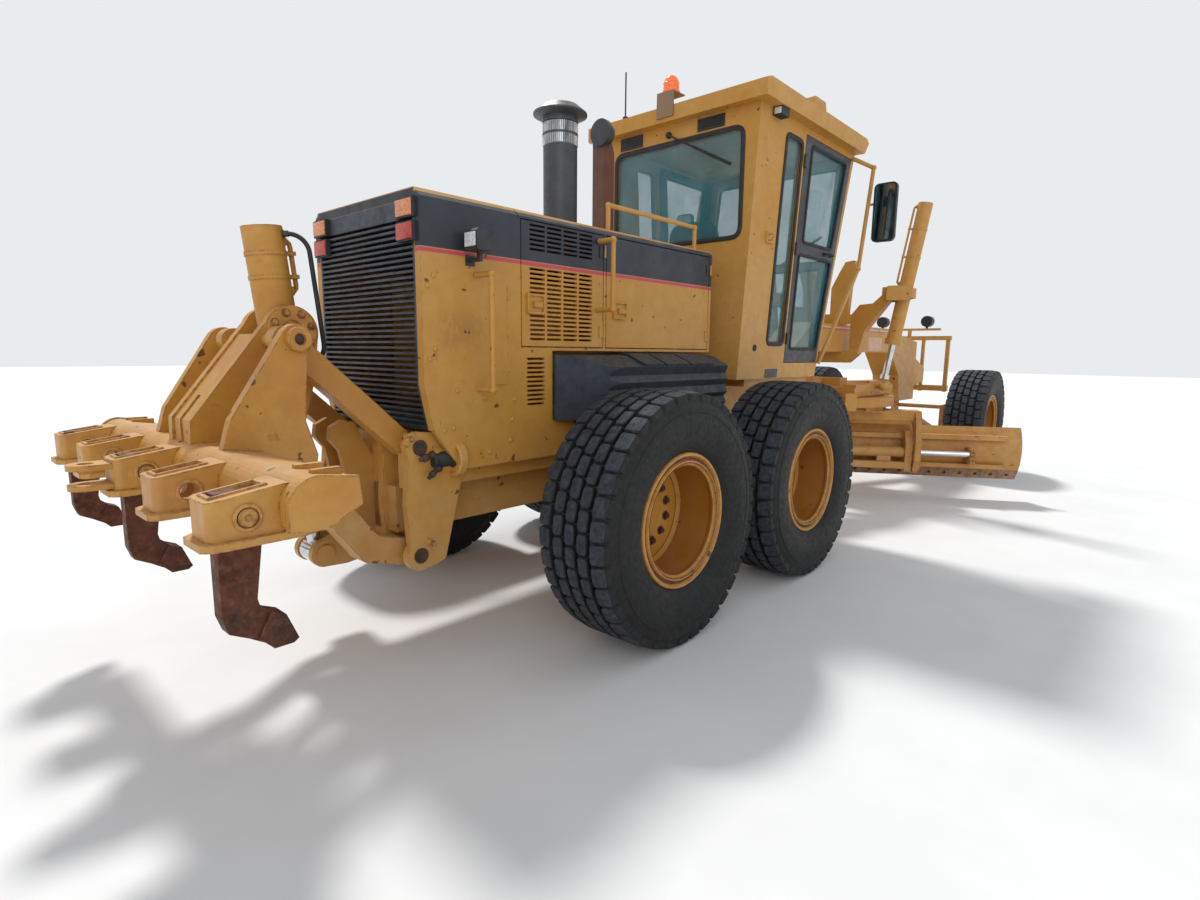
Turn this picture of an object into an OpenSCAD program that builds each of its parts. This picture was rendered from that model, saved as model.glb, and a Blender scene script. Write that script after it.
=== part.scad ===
// Motor grader with tandem drive, leaning front wheels, circle-mounted blade and rear ripper.
// X runs forward, Y to the left, Z up. Stations along X are measured from the tandem pivot,
// and the whole machine is then moved back by origin_x.

/* [Wheels] */
// Tyre diameter out to the tread blocks
tyre_d = 1340; // [1280:5:1400]
// Tyre width
tyre_w = 445; // [400:5:470]
// Diameter of the rim flange
rim_d = 711; // [680:1:740]
// Half the distance between the tyre centres, left to right
track_half = 1070; // [1050:1:1100]
// Half the distance between the tandem axles
tandem_half = 761; // [740:1:800]
// Distance from the tandem pivot to the front axle
wheelbase = 6087; // [6000:1:6200]
// Blocks round one row of the tread
tread_blocks = 24; // [18:1:30]
// Depth of the tread
tread_depth = 27; // [20:1:32]

/* [Hood] */
// Half the width of the hood
hood_half = 500; // [480:1:520]
// Height of the hood's top
hood_top = 2244; // [2150:1:2320]
// Station of the hood's rear face
hood_rear = -1794; // [-1850:1:-1760]
// Station of the hood's front face
hood_front = 585; // [540:1:590]
// Thickness of the hood's panels
hood_wall = 25; // [15:1:40]
// Slats in the rear grille
slats = 36; // [20:1:44]

/* [Cab] */
// Height of the roof's top
roof_top = 3365; // [3300:1:3450]
// Thickness of the roof slab
roof_t = 129; // [90:1:160]
// Half the width of the roof slab
roof_half = 814; // [780:1:840]
// Station of the cab's rear wall
cab_rear = 780; // [770:1:800]
// Thickness of the cab's walls
cab_wall = 45; // [35:1:60]

/* [Blade] */
// Length of the moldboard
blade_l = 4267; // [3658:1:4300]
// Angle of the blade from square, right end forward
blade_yaw = 30; // [0:1:40]
// Height of the cutting edge over the ground
blade_lift = 217; // [100:1:300]
// Shift of the moldboard along itself, to the left
blade_shift = 120; // [-200:1:200]
// Outer radius of the circle
circle_r = 765; // [700:1:800]
// Station of the circle's centre
circle_x = 3720; // [3650:1:3800]

/* [Ripper] */
// Distance between ripper pockets
pocket_pitch = 515; // [480:1:540]
// Height of the lower arm pins
arm_z = 545; // [500:1:600]
// Height of the upper link pins
link_z = 1070; // [1000:1:1150]

/* [Hidden] */

$fn = 48;
yellow = "#e0a52c";
black = "#1c1d20";
steel = "#c9ccd0";
rust = "#5b2a18";

tyre_r = tyre_d / 2;
axle_z = tyre_r;
fit = 0.05;      // running clearance on the radius of a pin
seat = 0.3;      // clearance between a piece and its seat
gap = 6;         // clearance between moving pieces
origin_x = 2047.5;

// Profiles: side() extrudes an X-Z profile along Y, across() a Y-Z profile along X, plan() an X-Y one along Z.
module side(y0, y1) { translate([0, y1, 0]) rotate([90, 0, 0]) linear_extrude(y1 - y0) children(); }
module across(x0, x1) { translate([x0, 0, 0]) rotate([90, 0, 90]) linear_extrude(x1 - x0) children(); }
module plan(z0, z1) { translate([0, 0, z0]) linear_extrude(z1 - z0) children(); }
module box(x, y, z) { translate([x[0], y[0], z[0]]) cube([x[1] - x[0], y[1] - y[0], z[1] - z[0]]); }
module both() { children(); mirror([0, 1, 0]) children(); }
module bar2(p, q, w) {
    d = q - p;
    translate(p) rotate(atan2(d[1], d[0])) translate([0, 0.3 - w / 2]) square([norm(d), w - 0.6]);
    translate(p) circle(d = w);
    translate(q) circle(d = w);
}
module rod(p, q, d) {
    v = q - p;
    translate(p) rotate([0, acos(v[2] / norm(v)), atan2(v[1], v[0])]) cylinder(d = d, h = norm(v));
}
module pin_y(x, z, d, y0, y1) { translate([x, y1, z]) rotate([90, 0, 0]) cylinder(d = d, h = y1 - y0); }
module pin_x(y, z, d, x0, x1) { translate([x0, y, z]) rotate([0, 90, 0]) cylinder(d = d, h = x1 - x0); }
module pin_z(x, y, d, z0, z1) { translate([x, y, z0]) cylinder(d = d, h = z1 - z0); }
module here() { translate([-origin_x, 0, 0]) children(); }

// Points of an arc from angle a0 to a1
function arc(cx, cz, r, a0, a1, n) = [for (i = [0:n]) [cx + r * cos(a0 + (a1 - a0) * i / n), cz + r * sin(a0 + (a1 - a0) * i / n)]];

// Hydraulic cylinders: the barrel runs from p towards q for a length, and the rod starts inside it.
function along(p, q, s) = p + (q - p) / norm(q - p) * s;
module hollow_barrel(p, q, len, d, bore, lip = 24) {
    difference() {
        union() {
            rod(p, along(p, q, len), d);
            rod(along(p, q, len - 60), along(p, q, len), d + lip);
        }
        rod(along(p, q, 30), along(p, q, len + 1), bore);
    }
}

// Wheels

rim_edge = 180;       // half the distance between the rim flanges
bead = rim_edge - 14.3;
// rows of tread blocks: from, to, turn in shares of the pitch
tread_rows = [[-212, -128, 0.2], [-122, -45, 0.6], [-39, 39, 0], [45, 122, 0.6], [128, 212, 0.2]];
// half section of the tyre from the bead to the middle of the tread
function tyre_half(r) = [[rim_d / 2 - 25.2, bead], [rim_d / 2 + 1.5, bead], [rim_d / 2 + 18.5, bead + 24],
    [rim_d / 2 + 75, bead + 46], [rim_d / 2 + 165, tyre_w / 2], [r - 70, tyre_w / 2 - 8.5], [r - 22, tyre_w / 2 - 22],
    [r, tyre_w / 2 - 44]];
module tyre_body(r) rotate_extrude($fn = 72) polygon(concat([for (p = tyre_half(r)) [p[0], -p[1]]],
    [for (i = [len(tyre_half(r)) - 1:-1:0]) tyre_half(r)[i]]));
module tread_row(z0, z1, turn) translate([0, 0, z0]) linear_extrude(z1 - z0) polygon([for (i = [0:tread_blocks - 1], e = [[-0.5, -1], [-0.36, 1],
    [0.36, 1], [0.5, -1]]) let (a = 360 * (i + turn + e[0] * 0.86) / tread_blocks, q = e[1] < 0 ? tyre_r - tread_depth - 8 : tyre_r + 8)
    [q * cos(a), q * sin(a)]]);
module tyre() color(black) rotate([90, 0, 0]) {
    tyre_body(tyre_r - tread_depth);
    intersection() {
        tyre_body(tyre_r);
        for (t = tread_rows) tread_row(t[0], t[1], t[2]);
    }
}
module rim() {
    f = rim_d / 2;
    w = rim_edge;
    color(yellow) rotate([90, 0, 0]) rotate_extrude($fn = 72)
        polygon([[0, -78], [38, -78], [42, -70], [130, -70], [138, -62], [198, -62], [206, -70], [270, -70], [f - 56, -54],
            [f - 56, w + 4], [f - 44, w + 4], [f - 40, w - 8], [f - 24, w - 8], [f - 18, w + 6], [f - 5, w + 6], [f, w], [f, w - 14], [f - 25.5, w - 14],
            [f - 25.5, 14 - w], [f, 14 - w], [f, -w], [f - 55.5, -w], [f - 55.5, 60 - w], [f - 63.5, 85 - w], [0, 85 - w]]);
}
// side is -1 on the right and 1 on the left; the dish of the rim faces outward
module wheel_at(x, s) { translate([x, s * track_half, axle_z]) rotate([0, 0, s > 0 ? 180 : 0]) children(); }

// Rear half

hitch_x = 860;
rail_in = 330;
rail_out = 430;
rail_z = [870, 1040];
rear_plate_x = -1840;
arm_pin_x = -1800;
link_pin_x = -1790;
mast_pin = [-2327, 1564];
trunnion = [-2222, 1600];
rod_pin = [-2110, 550];
arm_y = [240, 360];
link_y = [245, 325];
bracket_y = [400, 440];

module rear_frame() color(yellow) difference() {
    union() {
        both() box([rear_plate_x, 720], [rail_in, rail_out], rail_z);
        // rear plate and cross members
        box([rear_plate_x, rear_plate_x + 40], [-180, 180], [500, 1120]);
        box([-300, 300], [-rail_in, rail_in], [870, 1000]);
        box([600, 720], [-rail_out, rail_out], [700, 1040]);
        // belly guard
        side(-300, 300) polygon([[rear_plate_x, 640], [-600, 640], [-450, 870], [rear_plate_x, 870]]);
        // hitch clevis
        for (z = [[700, 740], [1000, 1040]]) {
            box([700, hitch_x], [-150, 150], z);
            pin_z(hitch_x, 0, 300, z[0], z[1]);
        }
        pin_z(hitch_x, 0, 90, 690, 1052);
        // ripper brackets
        both() {
            side(bracket_y[0], bracket_y[1]) ripper_bracket();
            side(arm_y[0] - 60, arm_y[0] - 20) ripper_bracket();
            pin_y(arm_pin_x, arm_z, 70, arm_y[0] - 20, bracket_y[0]);
            pin_y(link_pin_x, link_z, 70, arm_y[0] - 20, bracket_y[0]);
            box([-1700, -1660], [180, bracket_y[0]], [640, 1040]);
        }
        // lugs for the ripper cylinder's rod
        for (y = [-95, 60]) side(y, y + 35) union() {
            polygon([[rear_plate_x, 500], [-2000, 478], [rod_pin[0], rod_pin[1] - 65], [rod_pin[0], rod_pin[1] + 65], [-2050, 640],
                [-1995, 800], [-1985, 920], [-2010, 1040], [-2060, 1100], [-2050, 1160], [-1990, 1190], [-1930, 1170], [-1890, 1080],
                [rear_plate_x, 1000]]);
            translate(rod_pin) circle(r = 65);
        }
        both() pin_y(rod_pin[0], rod_pin[1], 90, 90, 108);
        // skirt below the hood's rear
        both() box([-1598, -800], [rail_out, hood_half - hood_wall - seat], [950, 1040]);
        // round housings beside the brackets
        both() pin_x(375, 1000, 190, -1720, -1590);
        // saddles on the axle housing
        both() difference() {
            box([-130, 130], [rail_in, rail_out], [axle_z + 90, rail_z[0] + 1]);
            pin_y(0, axle_z, 380 + 2 * seat, rail_in - 1, rail_out + 1);
        }
    }
    box([rear_plate_x - 1, rear_plate_x + 41], [-150, 150], [640, 870]);
}
module ripper_bracket() {
    difference() {
        union() {
            polygon([[-1850, 1140], [-1700, 1140], [-1560, 1010], [-1560, 870], [-1660, 500], [-1740, 475],
                [-1800, 475], [-1850, 560], [-1870, 800], [-1850, 1000]]);
            translate([arm_pin_x, arm_z]) circle(d = 150);
            translate([link_pin_x, link_z]) circle(d = 150);
        }
    }
}
case_y = [track_half - 470, track_half - 270];
module tandem_cases() color(yellow) {
    both() {
        side(case_y[0], case_y[1]) bar2([-tandem_half, axle_z], [tandem_half, axle_z], 400);
        for (x = [-1, 1]) pin_y(x * tandem_half, axle_z, 300, case_y[1], track_half - 95 - seat);
        // bolted cover of the chain case
        side(case_y[1], case_y[1] + 14) bar2([-tandem_half + 270, axle_z], [tandem_half - 270, axle_z], 260);
    }
    pin_y(0, axle_z, 380, -case_y[0], case_y[0]);
}
module engine() color("#8c7a3c") box([-1450, 420], [-330, 330], [rail_z[1] + seat, 1900]);

lower_edge = 1530;
side_door_z = [lower_edge + 16, hood_top - 50];
plain_door = [-545, hood_front - 28];
louvre_door = [-1205, -565];
// louvre groups: first column, columns, column pitch, width, first row, rows
louvre_pitch = 24;
slot_h = 12;
door_louvres = [[-1142, 4, 123, 108, 1584, 16], [-1142, 4, 123, 108, 2044, 6]];
low_louvres = [-1164, 1, 123, 124, 1240, 11];
module louvres(t) for (c = [0:t[1] - 1], i = [0:t[5] - 1])
    box([t[0] + c * t[2], t[0] + c * t[2] + t[3]], [hood_half - hood_wall - 1, hood_half + 1],
        [t[4] + i * louvre_pitch, t[4] + i * louvre_pitch + slot_h]);
rear_panel = [[-1598, 950], [-1749, 1150], [hood_rear, 1361]];
module hood_side() {
    polygon([[-1598, 950], [-1749, 1150], [hood_rear, 1361], [hood_rear, hood_top], [hood_front, hood_top - 12],
        [hood_front, lower_edge], [-980, lower_edge], [-980, 1150], [-800, 1150], [-800, 950]]);
}
module hood_section(inset) {
    c = 40;
    y = hood_half - inset;
    z = hood_top - inset;
    polygon([[-y, 900], [y, 900], [y, z - c], [y - c, z], [c - y, z], [-y, z - c]]);
}
module hood() color(yellow) difference() {
    union() {
        difference() {
            intersection() {
                side(-hood_half, hood_half) hood_side();
                across(hood_rear, hood_front) hood_section(0);
            }
            across(hood_rear - 1, hood_front - hood_wall) hood_section(hood_wall);
        }
        // posts and header round the grille
        both() intersection() {
            side(hood_half - post_w, hood_half - hood_wall) hood_side();
            box([hood_rear, hood_rear + 260], [hood_half - post_w, hood_half - hood_wall], [1150, hood_top - 24]);
        }
        box([hood_rear, hood_rear + 60], [post_w - hood_half, hood_half - post_w], [header_z, hood_top - 24]);
        // grab rail on the rear side panel and on top
        both() side_rail(-1490, [1340, 1885]);
        both() grab_rail([[-430, hood_half - 90, hood_top - 20], [-430, hood_half - 90, hood_top + 150],
            [490, hood_half - 90, hood_top + 150], [490, hood_half - 90, hood_top - 30]]);
        // raised panel beside the rail and seams of the top
        both() box([-1385, -1300], [hood_half - 5, hood_half + 6], [1356, 1908]);
        both() for (z = [1420, 1600, 1780]) pin_z(-1296, hood_half + 4, 14, z, z + 56);
    }
    // openings for the side doors
    both() for (x = [louvre_door, plain_door])
        box(x, [hood_half - hood_wall - 1, hood_half + 1], side_door_z);
    both() louvres(low_louvres);
    // seam round the top between the rear and front halves
    across(-1224, -1218) difference() {
        hood_section(-10);
        hood_section(5);
        translate([-700, 0]) square([1400, side_door_z[1]]);
    }
}
post_w = 45;
header_z = hood_top - 48;
module side_rail(x, z) grab_rail([[x, hood_half - 5, z[0]], [x, hood_half + 120, z[0]], [x, hood_half + 120, z[1]], [x, hood_half - 5, z[1]]]);
module grab_rail(pts) {
    for (i = [0:len(pts) - 2]) rod(pts[i], pts[i + 1], 28);
    for (p = [for (i = [1:len(pts) - 2]) pts[i]]) translate(p) sphere(d = 36);
}
// Side doors: panels hinged at their front edge, with a latch box near the rear one
hinge_y = hood_half + 8 + seat;
latch_z = [1720, 1824];
module side_door(x, latch_x) {
    difference() {
        box([x[0] + gap, x[1] - gap], [hood_half - hood_wall, hood_half], [side_door_z[0] + gap, side_door_z[1] - gap]);
        children();
    }
    difference() {
        box([latch_x, latch_x + 124], [hood_half - 1, hood_half + 14], latch_z);
        box([latch_x + 12, latch_x + 112], [hood_half + 4, hood_half + 20], [latch_z[0] + 12, latch_z[1] - 12]);
    }
    box([latch_x + 40, latch_x + 100], [hood_half + 3, hood_half + 22], [latch_z[0] + 34, latch_z[0] + 62]);
    for (z = [side_door_z[0] + 60, side_door_z[1] - 130]) {
        pin_z(x[1], hinge_y, 16, z, z + 70);
        box([x[1] - 40, x[1]], [hood_half - 2, hood_half + 6], [z, z + 70]);
    }
}
module engine_door() color(yellow) side_door(plain_door, -482);
module louvre_panel() color(yellow) {
    side_door(louvre_door, -1168) for (t = door_louvres) louvres(t);
    side_rail(-620, [1765, 2150]);
}
module grille() color(black) {
    y = hood_half - post_w - seat;
    n = slats;
    difference() {
        side(-y, y) polygon([[hood_rear, header_z - seat], [hood_rear, 1361], [-1749, 1150], [-1715, 1150], [hood_rear + 34, 1361],
            [hood_rear + 34, header_z - seat]]);
        for (i = [0:n - 1]) {
            z = 1172 + i * (2126 - 1172) / n;
            box([hood_rear - 10, hood_rear + 60], [14 - y, y - 14], [z, z + 15]);
        }
    }
}
// lamps: two in each corner of the grille, and a work lamp on each side
lamp_y = [340, 478];
module tail_lamps() color("#b5442a") both() {
    for (z = [[2012, 2098], [2114, 2200]]) box([hood_rear - 20, hood_rear - seat], lamp_y, z);
    // work lamp with its foot on the hood's side
    side(hood_half + 34, hood_half + 130) polygon([[-1568, 1984], [-1580, 1996], [-1580, 2070], [-1568, 2082], [-1478, 2074], [-1478, 1990]]);
    box([-1536, -1516], [hood_half + seat, hood_half + 90], [1940, 1958]);
    box([-1536, -1516], [hood_half + 70, hood_half + 90], [1940, 1990]);
    box([-1550, -1500], [hood_half + seat, hood_half + 8], [1924, 1972]);
}

fender_out = 700;
// pads that overlap on the cover's shoulder, from and to along X
pads = [[-405, -215], [-190, 60], [85, 340]];
rib_step = 22;
module cover_section(lift) polygon([[400, 1150], [fender_out - 40, 1150], [fender_out - 10, 1190], [fender_out - 10 - rib_step, 1230], [fender_out, 1260],
    [fender_out - rib_step, 1310], [fender_out, 1350], [fender_out - rib_step, 1390], [fender_out, 1440 + lift], [560, 1500 + lift], [400, 1525]]);
module fenders() color(black) both() intersection() {
    plan(1150, 1530) polygon([[-975, hood_half + seat], [-975, 520], [-700, fender_out - 10], [-600, fender_out],
        [525, fender_out], [575, hood_half + seat]]);
    union() {
        across(-1000, 600) cover_section(0);
        for (x = pads) across(x[0], x[1]) cover_section(16);
    }
}
stack = [-330, 100];
function on_hood(x) = hood_top - 12 * (x - hood_rear) / (hood_front - hood_rear) + seat;
module exhaust() color(black) {
    rod([stack[0], stack[1], on_hood(stack[0] - 111)], [stack[0], stack[1], 3010], 222);
    rotate_cap(stack[0], stack[1], 3085, 175);
    // collar and ribs of the stack
    for (z = [2900, 2980]) rod([stack[0], stack[1], z], [stack[0], stack[1], z + 14], 232);
    // air intake duct with its round mouth facing rearward
    difference() {
        box(duct_x, duct_y, [on_hood(duct_x[0]), 3000]);
        side(duct_y[0] - 1, duct_y[1] + 1) polygon([[duct_x[1] - 40, 3001], [duct_x[1] + 1, 3001], [duct_x[1] + 1, 2900]]);
    }
    pin_x(85, 3016, 176, 34, 70);
    pin_x(85, 3016, 130, 69, 120);
}
duct_x = [60, 175];
duct_y = [72, 172];
module rotate_cap(x, y, z, r) translate([x, y, z - 85]) rotate_extrude()
    polygon([[0, 0], [112, 0], [112, 10], [r, 30], [r, 40], [120, 85], [0, 95]]);

// Ripper

beam_x = [-2706, -2487];
beam_z = [985, 1145];
pocket_x = -2905;
pocket_half = 80;
slot_x = [-2872, -2738];
slot_half = 34;
shank_half = 31;
shank_pin = [-2798, 1040];
// lower arms pivot at the frame and carry the beam at the knee, parallel to the upper links
knee = [arm_pin_x + mast_pin[0] - link_pin_x, arm_z + mast_pin[1] - link_z];
module ripper_arms() color(yellow) both() difference() {
    side(arm_y[0], arm_y[1]) union() {
        bar2([arm_pin_x, arm_z], [-2010, 605], 130);
        bar2([-2010, 605], knee, 126);
    }
    pin_y(arm_pin_x, arm_z, 70 + 2 * fit, 0, 500);
    pin_y(knee[0], knee[1], 60 + 2 * fit, 0, 500);
}
module ripper_links() color(yellow) both() difference() {
    side(link_y[0], link_y[1]) bar2([link_pin_x, link_z], mast_pin, 110);
    pin_y(link_pin_x, link_z, 70 + 2 * fit, 0, 500);
    pin_y(mast_pin[0], mast_pin[1], 60 + 2 * fit, 0, 500);
}
// outer mast plate, up to the pin of the upper link
module link_mast() {
    polygon([[-2634, 1120], [-2634, 1130], [-2598, 1256], [-2380, 1600], [mast_pin[0], mast_pin[1] + 62], [mast_pin[0] + 40, 1560],
        [-2302, 1384], [-2313, 1238], [-2268, 1090], [knee[0] + 60, knee[1]], [knee[0], knee[1] - 62], [-2490, 1040], [-2500, 1120]]);
    translate(mast_pin) circle(r = 62);
    translate(knee) circle(r = 66);
}
// inner mast plate, round at the trunnion of the cylinder
module trunnion_mast() {
    polygon([[-2655, 1120], [-2650, 1235], [-2330, 1644], [-2300, 1680], [trunnion[0], trunnion[1] + 100], [trunnion[0] + 115, trunnion[1]],
        [-2130, 1400], [-2200, 1150], [knee[0] + 60, knee[1]], [knee[0], knee[1] - 62], [-2490, 1040], [-2500, 1120]]);
    translate(trunnion) circle(r = 116);
    translate(knee) circle(r = 66);
}
module beam_section(grow = 0) {
    r = 88 + grow;
    c = [beam_x[0] + 88, beam_z[1] - 88];
    polygon(concat([[c[0] - r, beam_z[0] + 10 - grow]], arc(c[0], c[1], r, 180, 90, 8),
        [[beam_x[1], 1126 + grow], [beam_x[1] + grow, 1041], [-2602, beam_z[0] - grow]]));
}
module ripper_beam() color(yellow) {
    difference() {
        union() {
            side(-1165, 1165) beam_section();
            both() side(1165, 1190) beam_section(7);
            for (i = [-2:2]) translate([0, i * pocket_pitch, 0]) {
                intersection() {
                    plan(900, 1200) union() {
                        translate([pocket_x + 30, -pocket_half]) square([250, 2 * pocket_half]);
                        translate([pocket_x, 30 - pocket_half]) square([250, 2 * pocket_half - 60]);
                        for (m = [-1, 1]) translate([pocket_x + 30, m * (pocket_half - 30)]) circle(r = 30);
                    }
                    side(-pocket_half - 5, pocket_half + 5) polygon([[pocket_x - 5, 970], [pocket_x - 5, 1092], [pocket_x, 1096],
                        [-2690, 1126], [-2640, 1126], [-2640, 970]]);
                }
                plan(955, 978) polygon([[pocket_x - 20, -70], [pocket_x + 10, -98], [-2640, -98], [-2560, -60], [-2560, 60], [-2640, 98],
                    [pocket_x + 10, 98], [pocket_x - 20, 70]]);
            }
            // pads on top of the beam near its ends
            both() for (y = [960, 1080]) box([-2600, -2505], [y, y + 26], [1110, 1154]);
            both() side(380, 430) link_mast();
            both() side(92, 140) trunnion_mast();
            both() box([-2640, -2490], [100, 400], [1100, 1141]);
            // bent cover between the inner masts
            side(-100, 100) polygon([[-2642, 1120], [-2642, 1232], [-2362, 1590], [-2346, 1578], [-2620, 1226], [-2620, 1120]]);
            both() {
                pin_y(knee[0], knee[1], 60, 135, 385);
                pin_y(mast_pin[0], mast_pin[1], 60, 135, 385);
                pin_y(mast_pin[0], mast_pin[1], 100, 425, 455);
            }
            // drawbar ears on the middle pocket
            for (z = [985, 1062]) {
                box([pocket_x - 70, pocket_x + 20], [-62, 62], [z, z + 22]);
                pin_z(pocket_x - 70, 0, 124, z, z + 22);
            }
        }
        for (i = [-2:2]) {
            // slot and pin hole of each shank
            box(slot_x, [i * pocket_pitch - slot_half, i * pocket_pitch + slot_half], [900, 1200]);
            pin_y(shank_pin[0], shank_pin[1], 56 + 2 * fit, i * pocket_pitch - 100, i * pocket_pitch + 100);
        }
        pin_z(pocket_x - 70, 0, 52, 980, 1090);
        both() pin_y(trunnion[0], trunnion[1], 90 + 2 * fit, 91, 141);
        box([-2700, -2500], [-17, 17], [1135, 1330]);
        both() pin_y(mast_pin[0], mast_pin[1], 44, 390, 460);
    }
}
module ripper_shanks() color(rust) for (i = [-2, 0, 2]) translate([0, i * pocket_pitch, 0]) {
    side(-shank_half, shank_half) polygon([[-2868, 1110], [-2742, 1110], [-2744, 950], [-2768, 770], [-2762, 745], [-2700, 690], [-2668, 622],
        [-2725, 604], [-2800, 652], [-2854, 681], [-2870, 730], [-2870, 900]]);
    pin_y(shank_pin[0], shank_pin[1], 56, -pocket_half - 8, pocket_half + 8);
    // wear tip over the nose
    side(-42, 42) polygon([[-2735, 720], [-2690, 700], [-2655, 612], [-2672, 600], [-2732, 600], [-2775, 645]]);
}
rip_p = [trunnion[0], 0, trunnion[1]];
rip_q = [rod_pin[0], 0, rod_pin[1]];
rip_n = norm(rip_q - rip_p);
module ripper_barrel() color(yellow) {
    hollow_barrel(along(rip_p, rip_q, -460), rip_q, 640, 168, 70 + 2 * fit, 6);
    both() pin_y(trunnion[0], trunnion[1], 90, 60, 140);
}
module ripper_rod() color(steel) difference() {
    union() {
        rod(along(rip_p, rip_q, 112), along(rip_p, rip_q, rip_n - 50), 70);
        side(-50, 50) translate(rod_pin) circle(r = 60);
    }
    pin_y(rod_pin[0], rod_pin[1], 70 + 2 * fit, -100, 100);
}

// Front half

spine_half = 260;
arch_half = 170;
arch_z = [1550, 1850];
nose = wheelbase + 413;
lift_x = nose + 560;
module front_frame() color(yellow) difference() {
    union() {
        // hitch lug
        pin_z(hitch_x, 0, 240, 745, 995);
        box([hitch_x, 1060], [-100, 100], [745, 995]);
        // spine below the cab and the arch to the nose
        side(-spine_half, spine_half) polygon([[1040, 760], [1040, 1300], [2150, 1300], [2500, 1490], [2500, 1130], [2300, 930], [1900, 760]]);
        side(-arch_half, arch_half) polygon([[2150, 1250], [2300, 1380], [3050, arch_z[1]], [nose - 1050, arch_z[1]],
            [nose - 850, arch_z[1] - 50], [nose, arch_z[1] - 150], [nose, 900], [nose - 620, 900], [nose - 700, 1250],
            [nose - 1050, arch_z[0]], [3090, arch_z[0]], [2560, 1000]]);
        // cab floor brackets
        box([1000, 2080], [-560, 560], [1270, 1329.7]);
        // front lift frame
        both() {
            side(90, 125) polygon([[nose - 50, 1080], [nose - 50, 1500], [nose + 60, 1500], [lift_x + 20, 1330], [lift_x + 20, 1140], [nose + 200, 1080]]);
            for (y = [[70, 110], [400, 450]]) box([lift_x, lift_x + 50], y, [990, 1790]);
        }
        for (z = [[1740, 1800], [1000, 1080]]) box([lift_x - 10, lift_x + 70], [-460, 460], z);
        // bracket of the drawbar's ball
        for (z = [865, 1095 + seat]) {
            pin_z(ball_x, 0, 150, z, z + 40 - seat);
            box([ball_x, ball_x + 200], [-75, 75], [z, z + 40 - seat]);
        }
        box([ball_x + 140, ball_x + 200], [-90, 90], [865, 1200]);
        // headlamp bar
        box([nose - 80, nose - 40], [-480, 480], [1860, 1890]);
        both() box([nose - 80, nose - 40], [60, 100], [1690, 1870]);
    }
    pin_z(hitch_x, 0, 90 + 2 * fit, 700, 1040);
    pin_z(ball_x, 0, 60 + 2 * fit, 800, 1133);
}
saddle_x = [3840, 3960];
lift_eye = [3866.8, 627.7, 1185];
lift_top = [3940, 900, 3065];
yoke_z = 2160;
yoke_s = (lift_top[2] - yoke_z) / (lift_top[2] - lift_eye[2]) * norm(lift_eye - lift_top);
yoke = along(lift_top, lift_eye, yoke_s);
fork_turn = -19.8;
stud_turn = -24;
module at_yoke() { translate(yoke) rotate([0, 0, fork_turn]) children(); }
module lift_arms() color(yellow) {
    across(saddle_x[0], saddle_x[1]) difference() {
        polygon([[-170 - seat, 1560], [-240, 1560], [-240, 1950], [-330, 2060], [-470, 2070], [-600, 2190], [-630, 2160], [-630, 2085],
            [-560, 1990], [-400, 1780], [-340, 1530], [-230, 1430], [230, 1430], [340, 1530], [400, 1780], [560, 1990], [630, 2085], [630, 2160], [600, 2190],
            [470, 2070], [330, 2060], [240, 1950], [240, 1950], [170 + seat, 1851], [-170 - seat, 1851]]);
        translate([-170 - seat, 1550 - seat]) square([2 * (170 + seat), 301]);
    }
    // horns over the saddle
    both() across(3700, 3780) polygon([[60, 1900], [60, 2240], [140, 2400], [200, 2510], [290, 2520], [330, 2440], [270, 2250], [250, 1900]]);
    box([3700, saddle_x[0]], [-250, 250], [1850 + seat, 1960]);
    both() {
        // fork round the lift cylinder's ring
        at_yoke() difference() {
            union() {
                for (m = [0, 1]) mirror([m, 0, 0]) translate([0, 0, 0]) box([120, 155], [-175, 60], [-75, 75]);
                box([-155, 155], [-175, -135], [-75, 75]);
            }
            translate([-200, 0, 0]) rotate([0, 90, 0]) cylinder(d = 50 + 2 * fit, h = 400);
        }
        box(saddle_x, [560, 630], [2085, 2235]);
    }
}
module lift_ring() color(yellow) at_yoke() difference() {
    union() {
        cylinder(d = 225, h = 100, center = true);
        for (m = [0, 1]) mirror([m, 0, 0]) translate([90, 0, 0]) rotate([0, 90, 0]) cylinder(d = 50, h = 64);
    }
    cylinder(d = 168, h = 400, center = true);
    rotate([0, 0, stud_turn]) translate([-300, 0, 0]) rotate([0, 90, 0]) cylinder(d = 40 + 2 * fit, h = 600);
}

// Cab: section half widths at the floor and under the roof
cab_z = [1330, roof_top - roof_t];
cab_y = [620, 730];
cab_front = [2120, 2440];
door_top = cab_z[1] - 46;
pane_top = cab_z[1] - 106;
module cab_section(inset) polygon([[-cab_y[0] + inset, cab_z[0]], [cab_y[0] - inset, cab_z[0]], [cab_y[1] - inset, cab_z[1] + 1], [-cab_y[1] + inset, cab_z[1] + 1]]);
module cab_profile(inset) polygon([[cab_rear + inset, cab_z[0]], [cab_front[0] - inset, cab_z[0]],
    [cab_front[1] - inset, cab_z[1] + 1], [cab_rear + inset, cab_z[1] + 1]]);
door_open = [[1500, 1450], [2115, 1450], [2385, door_top], [1500, door_top]];
module cab_solid(inset) intersection() {
    side(-800, 800) cab_profile(inset);
    across(cab_rear - 1, 2500) cab_section(inset);
}
module rounded_window(y, z, r) across(cab_rear - 5, cab_rear + cab_wall + 5) {
    translate([y[0] + r, z[0]]) square([y[1] - y[0] - 2 * r, z[1] - z[0]]);
    translate([y[0], z[0] + r]) square([y[1] - y[0], z[1] - z[0] - 2 * r]);
    for (a = [y[0] + r, y[1] - r], b = [z[0] + r, z[1] - r]) translate([a, b]) circle(r = r);
}
module side_window() side(500, 800) polygon([[1190, 1600], [1450, 1600], [1450, pane_top - 10], [1190, pane_top - 10]]);
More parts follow.
